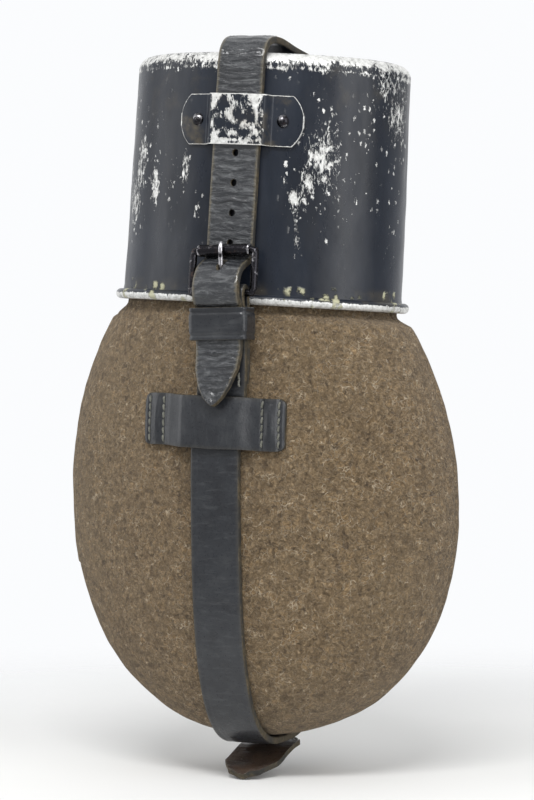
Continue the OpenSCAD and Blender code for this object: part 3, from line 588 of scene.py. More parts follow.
def prism(name, outline, low, high, axis, material):
    """A cutter: an outline in the other two axes, from low to high along axis, in millimetres."""
    count = len(outline)
    points = []
    for level in (low, high):
        for a, b in outline:
            points.append([level, a, b] if axis == "x" else [a, level, b])
    faces = [list(range(count)), list(range(count, 2 * count))[::-1]]
    faces += [[i, count + i, count + (i + 1) % count, (i + 1) % count] for i in range(count)]
    return make_piece(name, points, faces, [material], body=None)


def ring(radius_a, radius_b, centre, count=24):
    turns = [2 * math.pi * i / count for i in range(count)]
    return [(centre[0] + radius_a * math.cos(t), centre[1] + radius_b * math.sin(t)) for t in turns]


def smooth(t):
    t = min(max(t, 0.0), 1.0)
    return t * t * (3 - 2 * t)


def lerp(a, b, t):
    return a + (b - a) * t


def fleck(*p):
    """Smooth noise from -1 to 1 at a point."""
    return noise.noise(Vector(p))


def spline(points, step):
    """Points about step apart along one smooth curve through the given points."""
    p = [np.array(q, float) for q in points]
    made = []
    for i in range(len(p) - 1):
        a, b, c, d = p[max(i - 1, 0)], p[i], p[i + 1], p[min(i + 2, len(p) - 1)]
        count = max(1, round(np.linalg.norm(c - b) / step))
        for j in range(count):
            t = j / count
            made.append(0.5 * (2 * b + (c - a) * t + (2 * a - 5 * b + 4 * c - d) * t * t
                               + (3 * b - a - 3 * c + d) * t ** 3))
    return np.array(made + [p[-1]])


def tube(name, path, radius, material, body, stands_for=(), sides=16, closed=False, wear=0.3):
    """A round bar along a path, with rounded ends. radius is one number or one for each point."""
    path = np.asarray(path, float)
    count = len(path)
    radii = np.full(count, radius) if np.isscalar(radius) else np.asarray(radius, float)
    if not closed:
        ends = []
        for end, inner in ((0, 1), (count - 1, count - 2)):
            out = (path[end] - path[inner]) / np.linalg.norm(path[end] - path[inner])
            turns = [math.radians(degrees) for degrees in (35, 65, 85)]
            steps = [(out * math.sin(t) * radii[end], math.cos(t)) for t in turns]
            ends.append([(path[end] + move, radii[end] * share) for move, share in steps])
        path = np.array([p for p, _ in ends[0][::-1]] + list(path) + [p for p, _ in ends[1]])
        radii = np.array([r for _, r in ends[0][::-1]] + list(radii) + [r for _, r in ends[1]])
        count = len(path)
    points, last_side = [], None
    for i in range(count):
        before, after = (path[i - 1], path[(i + 1) % count]) if closed else \
            (path[max(i - 1, 0)], path[min(i + 1, count - 1)])
        along = (after - before) / np.linalg.norm(after - before)
        guess = last_side if last_side is not None else np.cross(along, [0.31, 0.87, 0.38])
        side = guess - along * (guess @ along)
        side /= np.linalg.norm(side)
        last_side = side
        up = np.cross(along, side)
        for k in range(sides):
            t = 2 * math.pi * k / sides
            points.append(path[i] + radii[i] * (math.cos(t) * side + math.sin(t) * up))
    faces = looped_tube(count, sides) if closed else closed_tube(count, sides)
    return make_piece(name, points, faces, [material], body, stands_for=stands_for, sharp=60,
                      values={"wear": [wear] * len(points)})


def joined(name, parts, body, stands_for):
    """Several pieces of one kind as one mesh."""
    shape = bmesh.new()
    for part in parts:
        part.data.transform(part.matrix_world)
        shape.from_mesh(part.data)
    mesh = bpy.data.meshes.new(name)
    shape.to_mesh(mesh)
    shape.free()
    for material in parts[0].data.materials:
        mesh.materials.append(material)
    for part in parts:
        bpy.data.objects.remove(part)
    return placed(name, mesh, body, stands_for)


# ---------- how the cup and the strap lie ----------

LEAN_PIVOT_Z = 157.0
lift_axis = joints["cup_lift"]["axis"]
CUP_LEAN = math.atan2(lift_axis[0], lift_axis[2])
CUP_TURN = math.radians(3.8)
BUCKLE_X = 3.0
REAR_X = -2.0


def on_cup(points):
    """Turns and leans points with the cup."""
    p = np.array(points, float)
    x = p[:, 0] * math.cos(CUP_TURN) - p[:, 1] * math.sin(CUP_TURN)
    y = p[:, 0] * math.sin(CUP_TURN) + p[:, 1] * math.cos(CUP_TURN)
    z = p[:, 2] - LEAN_PIVOT_Z
    return np.stack([x * math.cos(CUP_LEAN) + z * math.sin(CUP_LEAN), y,
                     z * math.cos(CUP_LEAN) - x * math.sin(CUP_LEAN) + LEAN_PIVOT_Z], -1)


def in_cup(x, y, z):
    """The cup's own coordinates of a point."""
    h = z - LEAN_PIVOT_Z
    across = x * math.cos(CUP_LEAN) - h * math.sin(CUP_LEAN)
    up = x * math.sin(CUP_LEAN) + h * math.cos(CUP_LEAN) + LEAN_PIVOT_Z
    return (across * math.cos(CUP_TURN) + y * math.sin(CUP_TURN),
            y * math.cos(CUP_TURN) - across * math.sin(CUP_TURN), up)


def smooth_all(values):
    held = np.clip(values, 0, 1)
    return held * held * (3 - 2 * held)


def on_flask(points):
    """Body strap: it runs a little to the right up to the buckle and to the left behind."""
    p = np.array(points, float)
    front = p[:, 1] < 0
    p[:, 0] += np.where(front, BUCKLE_X * smooth_all((p[:, 2] - 102) / 32),
                        REAR_X * smooth_all((p[:, 2] - 132) / 28))
    return p


def on_both(points, low, high):
    """Strap that leaves the flask's line at height low and follows the cup from height high."""
    p = np.array(points, float)
    share = smooth_all((p[:, 2] - low) / (high - low))[:, None]
    return on_flask(p) * (1 - share) + on_cup(p) * share


# ---------- shape of the body ----------

HALF_W = 73.0
BODY_FRONT = 42.0
BODY_BACK = 37.0
WAIST_Z = 85.0
FELT_T = 2.8
SHOULDER_Z = 158.0
SHOULDER_H = 12.0
NECK_R = 13.0
LOW_WIDE = 2.2
LOW_DEEP = 3.0
HIGH_WIDE = 98.0
HIGH_DEEP = 118.0
PLAY = 0.3


def body_semi(z, g=0.0):
    """Half-width, front depth and back depth of the body at height z, inset by g."""
    if z < WAIST_Z:
        drop = (WAIST_Z - z) / (WAIST_Z - g)
        wide = max(0.0, 1 - drop ** LOW_WIDE) ** (1 / LOW_WIDE)
        deep = max(0.0, 1 - drop ** LOW_DEEP) ** (1 / LOW_DEEP)
        return (HALF_W - g) * wide, (BODY_FRONT - g) * deep, (BODY_BACK - g) * deep
    wide = math.sqrt(1 - ((z - WAIST_Z) / (HIGH_WIDE - g)) ** 2)
    deep = math.sqrt(1 - ((z - WAIST_Z) / (HIGH_DEEP - g)) ** 2)
    close = 1.0
    if z > SHOULDER_Z - g:
        close = math.sqrt(max(0.0, 1 - ((z - SHOULDER_Z + g) / SHOULDER_H) ** 2))
    return (lerp(NECK_R, (HALF_W - g) * wide, close), lerp(NECK_R, (BODY_FRONT - g) * deep, close),
            lerp(NECK_R, (BODY_BACK - g) * deep, close))


RIM_Z = 154.0
CUP_HALF_W = 51.5
CUP_HALF_D = 35.5
CUP_WALL = 0.8
RIM_ROOM = 0.9
FELT_LEAN = 0.025      # how far the cover has slipped to the left for each millimetre above the waist


def tuck(x, y, z):
    """How much the body is drawn in where it would not fit inside the cup's rim."""
    at = in_cup(x, y, z)
    inset = CUP_WALL + RIM_ROOM
    reach = math.hypot(at[0] / (CUP_HALF_W - inset), at[1] / (CUP_HALF_D - inset))
    return 1 - smooth((at[2] - RIM_Z + 5) / 4.2) * max(0.0, 1 - 1 / max(reach, 0.01))


def body_point(phi, z, g=0.0):
    wide, front, back = body_semi(z, g)
    depth = front if math.sin(phi) < 0 else back
    x, y = wide * math.cos(phi) - FELT_LEAN * max(0.0, z - WAIST_Z), depth * math.sin(phi)
    if z < RIM_Z - 14:
        return [x, y, z]
    outer_wide, outer_front, outer_back = body_semi(z)
    outer_depth = outer_front if math.sin(phi) < 0 else outer_back
    share = tuck(outer_wide * math.cos(phi) - FELT_LEAN * (z - WAIST_Z), outer_depth * math.sin(phi), z)
    return [x * share, y * share, z]


def face_y(x, z, front=True):
    wide, near, far = body_semi(z)
    return (-near if front else far) * math.sqrt(1 - (x / wide) ** 2)


def body_rows(g, count_low, count_high, turns):
    low = [WAIST_Z - (WAIST_Z - g) * math.cos(math.radians(lerp(1.5, 90, i / count_low)))
           for i in range(count_low)]
    high = [lerp(WAIST_Z, SHOULDER_Z - g, i / count_high) for i in range(count_high + 1)]
    top = [SHOULDER_Z - g + SHOULDER_H * math.sin(math.radians(t)) for t in turns]
    return low + high + top


# ---------- felt cover ----------

FLAP_LOW, FLAP_HIGH = 60.0, 152.0
FLAP_REACH = math.radians(26)
FLAP_T = 1.7


def felt_ripple(p):
    """Unevenness of the felt, in millimetres outwards."""
    return 0.35 * fleck(p[0] / 19, p[1] / 19, p[2] / 23) + 0.16 * fleck(p[0] / 5, p[1] / 5, p[2] / 5)


def felt_panel(name, first, last, node, material, seam_dip):
    cols = 150
    turns = [8, 16, 24, 32, 40, 48, 54, 60]
    outer_z = body_rows(0, 70, 70, turns)
    inner_z = body_rows(FELT_T, 70, 70, turns)
    phis = [lerp(first, last, j / cols) for j in range(cols + 1)]
    outer, inner = [], []
    for z, zi in zip(outer_z, inner_z):
        for j, phi in enumerate(phis):
            to_seam = min(j, cols - j) / cols
            flat = body_point(phi, z)
            dip = seam_dip * (1 - smooth(to_seam / 0.02))
            outer.append(body_point(phi, z, dip - felt_ripple(flat)))
            inner.append(body_point(phi, zi, FELT_T))
    faces, _ = closed_sheet(len(outer_z), cols + 1)
    make_piece(name, outer + inner, faces, [material], "root", stands_for=[node], sharp=65)


def felt_flap(material):
    """The cover's flap, lapped over the back behind the left side and closed with four snaps."""
    start = math.radians(-166)
    end = math.radians(-180.4) - FLAP_REACH
    cols, rows = 60, 120
    corner = 9.0
    outer, inner = [], []
    for i in range(rows + 1):
        for j in range(cols + 1):
            phi = lerp(start, end, j / cols)
            wide = body_semi(WAIST_Z)[0]
            to_end = (phi - end) * wide * 0.62
            cut_in = corner - math.sqrt(max(0.0, corner ** 2 - max(0.0, corner - to_end) ** 2))
            z = lerp(FLAP_LOW + cut_in, FLAP_HIGH - cut_in, i / rows)
            lift = (FLAP_T + 0.2) * smooth((math.radians(-165.5) - phi) / math.radians(10))
            edge = min(to_end, z - FLAP_LOW - cut_in, FLAP_HIGH - cut_in - z)
            lift -= 0.7 * (1 - smooth(edge / 0.9)) * smooth(j / 6)
            wave = 0.35 * fleck(z / 16, phi * 5, 2.2) * smooth(j / 20)
            out = max(0.0, wave) + felt_ripple(body_point(phi, z))
            outer.append(body_point(phi, z, -max(lift, 0.02) - out))
            inner.append(body_point(phi, z, 0.25 - max(0.0, lift - FLAP_T) - out))
    faces, _ = closed_sheet(rows + 1, cols + 1)
    make_piece("felt_flap", outer + inner, faces, [material], "root", stands_for=["cover_front"],
               sharp=65)


# ---------- cup ----------

CUP_H = 87.5
BASE_Z = RIM_Z + CUP_H
CUP_TAPER = 1.3
BEAD_R = 1.8
CORNER_R = 4.5


def cup_semi(z):
    narrower = CUP_TAPER * (z - RIM_Z) / CUP_H
    return CUP_HALF_W - narrower, CUP_HALF_D - narrower


def cup_y(x, z):
    wide, deep = cup_semi(z)
    return deep * math.sqrt(1 - (x / wide) ** 2)


# Where crusts sit above the cup's rim: x, z and reach
CRUST_SPOTS = [(14.8, 160, 4.0), (22.9, 159, 4.0), (40.4, 160, 3.6), (33, 158.5, 3.0), (-30, 158.5, 5.0)]


def crust_spot(x, y, z):
    """How thickly a point of the cup's front is crusted, from 0 to 1."""
    if y > 0:
        return 0.0
    return max(math.exp(-((x - at_x) / reach) ** 2 - ((z - at_z) / 2.0) ** 2)
               for at_x, at_z, reach in CRUST_SPOTS)


# Where the enamel is chipped away: middle and reach in x and z on the front, and how badly
CHIP_PATCHES = [
    ((29, 206), (7.0, 15), 0.95), ((31, 214), (5.5, 9), 0.75), ((22, 191), (5.0, 5), 0.95),
    ((25, 197), (6.0, 8), 0.85), ((33, 196), (9.0, 12), 0.55), ((40, 199), (8.0, 20), 0.42),
    ((30, 180), (10.0, 12), 0.34), ((17, 200), (2.0, 12), 0.55), ((-41, 203), (5.0, 14), 0.92),
    ((-33, 194), (3.5, 9), 0.98), ((-44, 190), (5.0, 14), 0.80), ((-25, 196), (3.0, 9), 0.50),
    ((-20, 200), (1.8, 9), 0.95), ((-14, 186), (2.5, 6), 0.75), ((-47, 225), (5.0, 12), 0.45),
    ((44, 226), (6.0, 12), 0.50), ((49, 222), (3.0, 14), 0.85), ((30, 232), (10.0, 5), 0.40),
    ((15, 236), (5.0, 4), 0.50), ((49, 190), (2.5, 22), 0.40), ((-30, 222), (4.0, 10), 0.34),
    ((34, 203), (15, 26), 0.40), ((-38, 200), (9, 20), 0.50), ((28, 226), (6, 8), 0.45),
    ((22, 180), (2, 12), 0.82), ((-44, 232), (6, 8), 0.55), ((47, 233), (4.5, 7), 0.90),
    ((31, 221), (2.2, 2.2), 0.80),
]


def cup_wear(x, y, z, base, bead):
    """How worn the enamel is at a point of the cup: base is 1 on the rounded base edge."""
    wear = 0.10 + 0.10 * fleck(x / 17, y / 17, z / 21)
    if y < 0:
        for (px, pz), (rx, rz), strength in CHIP_PATCHES:
            away = ((x - px) / rx) ** 2 + ((z - pz) / rz) ** 2
            wear = max(wear, strength * math.exp(-0.9 * away))
    else:
        patch = fleck(x / 14 + 7, z / 19, 4.4)
        wear = max(wear, 0.75 * smooth((patch - 0.18) / 0.35))
    edge = 1.22 + 0.45 * fleck(x / 9, y / 9, 1.7)
    return max(wear, base * edge, bead * (1.20 + 0.45 * fleck(x / 7, y / 7, 5.2)))


def cup_piece(material):
    """The upturned cup: an oval shell with a rolled rim, rounded base edge and a dished base."""
    profile = []          # inset from the wall, height, base wear, bead wear
    inner_r = CORNER_R - CUP_WALL
    dish = ((34, 0.9), (30, 0.9), (26, 0.8), (18, 0.5), (12, 0.2), (9, 0.05), (7.5, 0.0), (6, 0.0))
    for inset, sink in dish:
        profile.append((inset, BASE_Z - sink, smooth((14 - inset) / 9) * 0.6, 0))
    for t in range(90, -1, -9):
        a = math.radians(t)
        profile.append((CORNER_R * (1 - math.cos(a)), BASE_Z - CORNER_R + CORNER_R * math.sin(a),
                        0.55 + 0.45 * math.sin(2 * a), 0))
    wall_rows = 70
    for i in range(1, wall_rows):
        z = lerp(BASE_Z - CORNER_R, RIM_Z + 4.0, i / wall_rows)
        profile.append((0, z, 0.85 * (1 - smooth((BASE_Z - CORNER_R - z) / 4.5)), 0))
    bead_mid = BEAD_R - CUP_WALL
    for t in range(115, -185, -10):
        a = math.radians(t)
        out = smooth((math.cos(a + math.radians(42)) - 0.25) / 0.5)
        profile.append((-bead_mid - BEAD_R * math.cos(a), RIM_Z + BEAD_R + BEAD_R * math.sin(a), 0, out))
    for i in range(11):
        profile.append((CUP_WALL, lerp(RIM_Z + 5, BASE_Z - CORNER_R, i / 10), 0, 0))
    for t in range(9, 91, 9):
        a = math.radians(t)
        profile.append((CUP_WALL + inner_r * (1 - math.cos(a)), BASE_Z - CORNER_R + inner_r * math.sin(a),
                        0, 0))
    for inset, sink in ((9, 0.05), (18, 0.5), (26, 0.8), (34, 0.9)):
        profile.append((inset, BASE_Z - CUP_WALL - sink, 0, 0))
    cols = 256
    points, wear, stain, crust = [], [], [], []
    for row, (inset, z, base, bead) in enumerate(profile):
        wide, deep = cup_semi(z)
        for k in range(cols):
            a = 2 * math.pi * k / cols
            x, y = (wide - inset) * math.cos(a), (deep - inset) * math.sin(a)
            dent = 0.28 * fleck(x / 26, y / 26, z / 30) + 0.10 * fleck(x / 8, y / 8, z / 9)
            dent *= smooth((z - RIM_Z - 6) / 14) * (1 if inset < 20 else 0.3)
            scale = 1 + dent / deep
            points.append([x * scale, y * scale, z])
            wear.append(cup_wear(x, y, z, base, bead))
            near_rim = 1 - smooth((z - RIM_Z - 5) / 4)
            stain.append(0.5 * near_rim + 0.35 * smooth((z - 205) / 30))
            crumbs = near_rim * smooth((fleck(x / 6, y / 6, 9.1) - 0.05) / 0.3)
            crust.append(max(crumbs, crust_spot(x, y, z)))
    make_piece("cup_enamelled", on_cup(points), closed_tube(len(profile), cols), [material], "cup",
               values={"wear": wear, "stain": stain, "crust": crust}, sharp=60,
               stands_for=["cup_shell"])


BRACKET_HALF_W = 22.5
BRACKET_HALF_H = 8.75
BRACKET_END_R = 12.0
BRACKET_T = 1.2
BRACKET_Z = 217.5
STRAP_T = 2.5
RIVET_X = 15.4


def bracket_back(x):
    step = 1 - smooth((abs(x) - 9.6) / 2.6)
    return -cup_y(x, BRACKET_Z) - 0.1 - (STRAP_T + 0.75) * step


def bracket_piece(material):
    """Sheet-metal bracket that the strap runs through, with arc-cut ends and a raised middle."""
    cols, rows = 190, 40
    outer, inner, wear, stain = [], [], [], []
    for i in range(rows + 1):
        for j in range(cols + 1):
            x = lerp(-BRACKET_HALF_W, BRACKET_HALF_W, j / cols)
            past = max(0.0, abs(x) - (BRACKET_HALF_W - BRACKET_END_R))
            half = min(BRACKET_HALF_H, math.sqrt(max(4.0, BRACKET_END_R ** 2 - past * past)))
            z = BRACKET_Z + lerp(-half, half, i / rows)
            back = bracket_back(x)
            wobble = 0.08 * fleck(x / 5, z / 5, 3.0)
            outer.append([x, back - BRACKET_T - wobble, z])
            inner.append([x, back, z])
            border = min(half - abs(z - BRACKET_Z), BRACKET_HALF_W - abs(x))
            raised = 1 - smooth((abs(x) - 9.0) / 1.5)
            edge = 1.5 * (1 - smooth((border - 0.10) / 0.42))
            shoulders = raised * (math.exp(-((x + 8.4) / 2.0) ** 2) + 0.8 * math.exp(-((x - 7.0) / 2.4) ** 2))
            shoulders *= 0.75 + 0.6 * fleck(x / 3, z / 4, 1.2)
            low_rim = raised * math.exp(-((z - BRACKET_Z + 7.2) / 1.2) ** 2)
            patch = raised * (0.72 + 0.75 * fleck(x / 3.2, z / 3.2, 8.8))
            wear.append(max(edge, 1.25 * shoulders, 0.95 * low_rim, patch, 0.1))
            stain.append(0.9 * (1 - raised) + 0.2)
    faces, _ = closed_sheet(rows + 1, cols + 1)
    count = len(outer)
    values = {"wear": wear + [0.4] * count, "stain": stain + [0.0] * count, "crust": [0.0] * 2 * count}
    piece = make_piece("bracket", on_cup(outer + inner), faces, [material], "cup",
                       values=values, stands_for=["cup_bracket"], sharp=50)
    bevelled(piece, 0.28)


def rivet_heads(material):
    """Domed rivets through the bracket and the cup, with their washers inside."""
    parts = []
    for side in (-1, 1):
        x = side * RIVET_X
        seat = bracket_back(x) - BRACKET_T
        wall = -cup_y(x, BRACKET_Z)
        profile = [(0.02, seat - 1.35), (0.6, seat - 1.3), (1.2, seat - 1.1), (1.7, seat - 0.75),
                   (2.1, seat - 0.25), (2.25, seat + 0.05), (1.5, seat + 0.1), (1.5, wall + 1.4),
                   (2.4, wall + 1.5), (2.4, wall + 2.3), (0.02, wall + 2.3)]
        cols = 28
        points = []
        for radius, y in profile:
            points += [[px, y, pz] for px, pz in ring(radius, radius, (x, BRACKET_Z), cols)]
        parts.append(make_piece(f"rivet_{side}", on_cup(points), closed_tube(len(profile), cols), [material],
                                None, sharp=45, values={"wear": [0.9] * len(points)}))
    joined("bracket_rivet_heads", parts, "cup", ["bracket_rivets"])


# ---------- leather straps ----------

STRAP_HALF = 9.0
BUCKLE_LINE = 39.8
BACK_LINE = 38.8
BAR_Z = 157.0
BUCKLE_H = 15.0
BAR_R = 1.3
CHAPE_T = 2.0
BAR_Y = -(BUCKLE_LINE + CHAPE_T + BAR_R + 0.1)
ROLLER_Y = -40.6
ROLLER_Z = BAR_Z + BUCKLE_H
ROLLER_R = 2.1
TAIL_Y = BUCKLE_LINE + STRAP_T + CHAPE_T + 0.2 + STRAP_T / 2
TAIL_TIP_Z = 118.5
REAR_START = 131.0
REAR_END = 232.0


def strap_mid(z, front):
    line = BUCKLE_LINE * smooth((z - WAIST_Z) / 40) if front else BACK_LINE * smooth((z - 70) / 20)
    return STRAP_T / 2 + max(body_semi(z, -PLAY)[1 if front else 2], line)


def strap_low(t, front):
    g = -PLAY - STRAP_T / 2
    z = WAIST_Z - (WAIST_Z - g) * math.cos(math.radians(t))
    return (-1 if front else 1) * body_semi(z, g)[1 if front else 2], z


def over_cup_y(z):
    """Depth of the strap's middle where it lies on the cup."""
    return cup_y(0, z) + 0.35 + STRAP_T / 2


def resample(path, step):
    """Points a step apart along a path of y, z points."""
    path = np.asarray(path, float)
    lengths = np.concatenate([[0], np.cumsum(np.linalg.norm(np.diff(path, axis=0), axis=1))])
    count = max(2, round(lengths[-1] / step))
    at = np.linspace(0, lengths[-1], count + 1)
    return np.stack([np.interp(at, lengths, path[:, k]) for k in (0, 1)], -1), at


def eased(path, passes=3):
    """Takes the kinks out of a path, keeping its ends."""
    path = np.array(path, float)
    for _ in range(passes):
        path[1:-1] = 0.25 * path[:-2] + 0.5 * path[1:-1] + 0.25 * path[2:]
    return path


def strap_piece(name, path, start_s, relief, wear_and_sheen, body, material, edge_material, half=None, thick=None,
                step=0.8, lay=on_flask, stands_for=()):
    """Leather band along a path of y, z points: relief(s, u) lifts its grain side, worn(s) fades it with wear
    and lightens it with painted sheen.

    start_s is the length already run, so that neighbouring pieces share one flow of creases.
    """
    path, at = resample(path, step)
    path = eased(path)
    along = start_s + at
    count = len(path)
    top = 26
    bevel = 0.55
    loops, across_values, along_values, wear_and_sheen_values = [], [], [], []
    for i in range(count):
        s = along[i]
        ahead = path[min(i + 1, count - 1)] - path[max(i - 1, 0)]
        ty, tz = ahead / np.linalg.norm(ahead)
        out = np.array([0.0, tz, -ty])
        half_here = half(s, path[i]) if half else STRAP_HALF
        thick_here = thick(s) if thick else STRAP_T
        b = min(bevel, half_here * 0.4, thick_here * 0.35)
        section = []
        for k in range(top):
            u = lerp(-1, 1, k / (top - 1))
            fade = smooth((1 - abs(u)) / 0.12)
            section.append((u * (half_here - b), thick_here / 2 + relief(s, u) * fade, "top"))
        for t in (60, 30, 0):
            a = math.radians(t)
            section.append((half_here - b + b * math.cos(a), thick_here / 2 - b + b * math.sin(a), "rim"))
        for t in (0, -30, -60):
            a = math.radians(t)
            section.append((half_here - b + b * math.cos(a), -thick_here / 2 + b + b * math.sin(a), "rim"))
        for k in range(8):
            section.append((lerp(half_here - b, -half_here + b, k / 7), -thick_here / 2, "back"))
        for t in (-60, -30, 0):
            a = math.radians(t)
            section.append((-half_here + b - b * math.cos(a), -thick_here / 2 + b + b * math.sin(a), "rim"))
        for t in (0, 30, 60):
            a = math.radians(t)
            section.append((-half_here + b - b * math.cos(a), thick_here / 2 - b + b * math.sin(a), "rim"))
        for u, v, kind in section:
            loops.append([u, path[i][0] + v * out[1], path[i][1] + v * out[2]])
            across_values.append(u / half_here if kind != "back" else 0.0)
            along_values.append(s * MM)
            wear_and_sheen_values.append(wear_and_sheen(s))
    kinds = [kind for _, _, kind in section]
    cols = len(kinds)
    slots = []
    for i in range(count - 1):
        for j in range(cols):
            pair = {kinds[j], kinds[(j + 1) % cols]}
            slots.append(1 if pair == {"rim"} else 0)
    slots += [1, 1]
    return make_piece(name, lay(loops), closed_tube(count, cols), [material, edge_material], body,
                      face_slots=slots, sharp=50, stands_for=stands_for,
                      values={"across": across_values, "along": along_values, "wear_and_sheen": wear_and_sheen_values})


def ridge(t):
    """A row of soft ridges, one for each whole number of t."""
    return (0.5 + 0.5 * math.cos(2 * math.pi * t)) ** 2


def creases(s, u, pitch, height, seed):
    """Cross creases of bent leather."""
    wander = 0.55 * fleck(u * 1.1, s / 9, seed) + 0.18 * fleck(u * 3.2, s / 3, seed + 5)
    strength = 0.62 + 0.8 * fleck(u * 0.9, s / 4.5, seed + 9)
    return height * max(0.0, strength) * ridge(s / pitch + wander)


def make_straps(leather, worn_leather, edge):
    """The strap in four pieces: round the bottle, up behind the cup, over the cup, and its free end."""
    bend = CHAPE_T / 2 + BAR_R + 0.1
    fold = [(BAR_Y + bend, 126), (BAR_Y + bend, 140), (BAR_Y + bend, 150)]
    fold += [(BAR_Y + bend * math.cos(math.radians(t)), BAR_Z + bend * math.sin(math.radians(t)))
             for t in range(0, 181, 20)]
    fold += [(BAR_Y - bend + 0.1, BAR_Z - 2), (-44.6, BAR_Z - 5), (-43.5, 148), (-43.3, 142), (-43.2, 134),
             (-42.9, 128), (-42.0, 122), (-41.3, 118)]
    front = [(-strap_mid(z, True), z) for z in range(112, int(WAIST_Z), -6)]
    under = [strap_low(t, True) for t in range(84, 5, -6)] + [(0, -PLAY - STRAP_T / 2)]
    under += [strap_low(t, False) for t in range(6, 85, 6)]
    rear = [(strap_mid(z, False), z) for z in range(int(WAIST_Z) + 6, 132, 6)]
    rear_line = BACK_LINE + STRAP_T / 2
    rear += [(rear_line, REAR_START)]
    lower = spline(fold + front + under + rear, 1.0)
    _, lower_at = resample(lower, 1.0)
    lower_length = lower_at[-1]

    def lower_relief(s, u):
        fade = smooth((s - 60) / 20)
        edge_line = -0.16 * math.exp(-((abs(u) - 0.86) / 0.035) ** 2) * fade
        return edge_line + 0.10 * fleck(u * 1.5, s / 14, 2.0) + creases(s, u, 6.5, 0.05, 3.1)

    def lower_thick(s):
        skived = smooth((s - 2) / 4)
        return lerp(lerp(0.8, CHAPE_T, skived), STRAP_T, smooth((s - 48) / 14))

    lower_strap = strap_piece("strap_round_bottle", lower, 0, lower_relief, lambda s: 0.05, "root", leather,
                              edge, thick=lower_thick, step=0.9, stands_for=["strap_lower"])
    slot_outline = [(BAR_Y - 5, BAR_Z - 3.4), (BAR_Y + 5, BAR_Z - 3.4), (BAR_Y + 5, BAR_Z + 5),
                    (BAR_Y - 5, BAR_Z + 5)]
    cut(lower_strap, [prism("slot_cutter", slot_outline, BUCKLE_X - 2, BUCKLE_X + 2, "x", edge)])

    rear_leg = [(rear_line, REAR_START), (rear_line, 140), (rear_line, 150), (rear_line, 163)]
    rear_leg += [(over_cup_y(z), z) for z in range(176, int(REAR_END), 8)]
    rear_leg += [(over_cup_y(REAR_END), REAR_END)]
    rear_leg = spline(rear_leg, 1.0)
    _, rear_at = resample(rear_leg, 1.0)

    def rear_relief(s, u):
        return 0.08 * fleck(u * 1.5, s / 10, 6.0) + creases(s, u, 4.5, 0.10, 7.7)

    rear_strap = strap_piece("strap_rear_leg", rear_leg, lower_length, rear_relief, lambda s: 0.3, None,
                             worn_leather, edge, step=1.0, lay=lambda loops: on_both(loops, 150, 178))
    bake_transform(rear_strap)

    over = over_cup_y(BASE_Z)
    upper = [(over_cup_y(REAR_END), REAR_END), (over, BASE_Z - 4), (33.6, BASE_Z + 0.6), (28, BASE_Z + 3.2),
             (18, BASE_Z + 3.8), (0, BASE_Z + 4.4), (-18, BASE_Z + 5.4), (-29, BASE_Z + 4.2),
             (-34.2, BASE_Z + 0.8), (-over, BASE_Z - 4)]
    upper += [(-over_cup_y(z), z) for z in range(int(BASE_Z) - 10, 184, -8)]
    upper += [(-36.7, ROLLER_Z + 6), (-36.6, ROLLER_Z + 1), (-36.8, ROLLER_Z - 1.6), (-38.5, ROLLER_Z - 3.7),
              (-41.5, ROLLER_Z - 4.9), (-45.4, ROLLER_Z - 7), (-48.1, BAR_Z + 4), (-48.8, BAR_Z + 0.5),
              (-48, BAR_Z - 2.4), (-TAIL_Y - 0.15, BAR_Z - 4.8), (-TAIL_Y, 146), (-TAIL_Y - 0.1, 138),
              (-TAIL_Y - 0.9, 131), (-TAIL_Y - 2, 125), (-TAIL_Y - 3.2, TAIL_TIP_Z)]
    upper = spline(upper, 0.6)
    _, upper_at = resample(upper, 0.5)
    upper_start = lower_length + rear_at[-1]
    upper_length = upper_at[-1]
    tip = [(TAIL_TIP_Z, 0.6), (119.3, 1.8), (121, 3.5), (125, 5.9), (131, 7.9), (139, 8.5)]

    def upper_half(s, place):
        if place[0] < -40 and place[1] < tip[-1][0]:
            return float(np.interp(place[1], *zip(*tip)))
        return STRAP_HALF - 0.5 * smooth((s - upper_start) / 6)

    def upper_relief(s, u):
        from_tip = upper_start + upper_length - s
        strength = lerp(0.42, 1.00, 1 - smooth((from_tip - 24) / 6))
        pitch = lerp(2.9, 2.4, 1 - smooth((from_tip - 26) / 4))
        edge_line = -0.13 * math.exp(-((abs(u) - 0.84) / 0.04) ** 2)
        return edge_line + creases(s, u, pitch, strength, 11.3) + 0.10 * fleck(u * 2, s / 7, 4.0)

    def lay_upper(loops):
        """Over the cup it leans with it; below the roller it hangs under the buckle."""
        laid = on_both(loops, 163, 176)
        front = np.array(loops)[:, 1] < 0
        drift = 1.5 * smooth_all((140 - laid[:, 2]) / 20)
        laid[:, 0] += np.where(front, BUCKLE_X * (1 - smooth_all((laid[:, 2] - 102) / 32)) - drift, 0)
        return laid

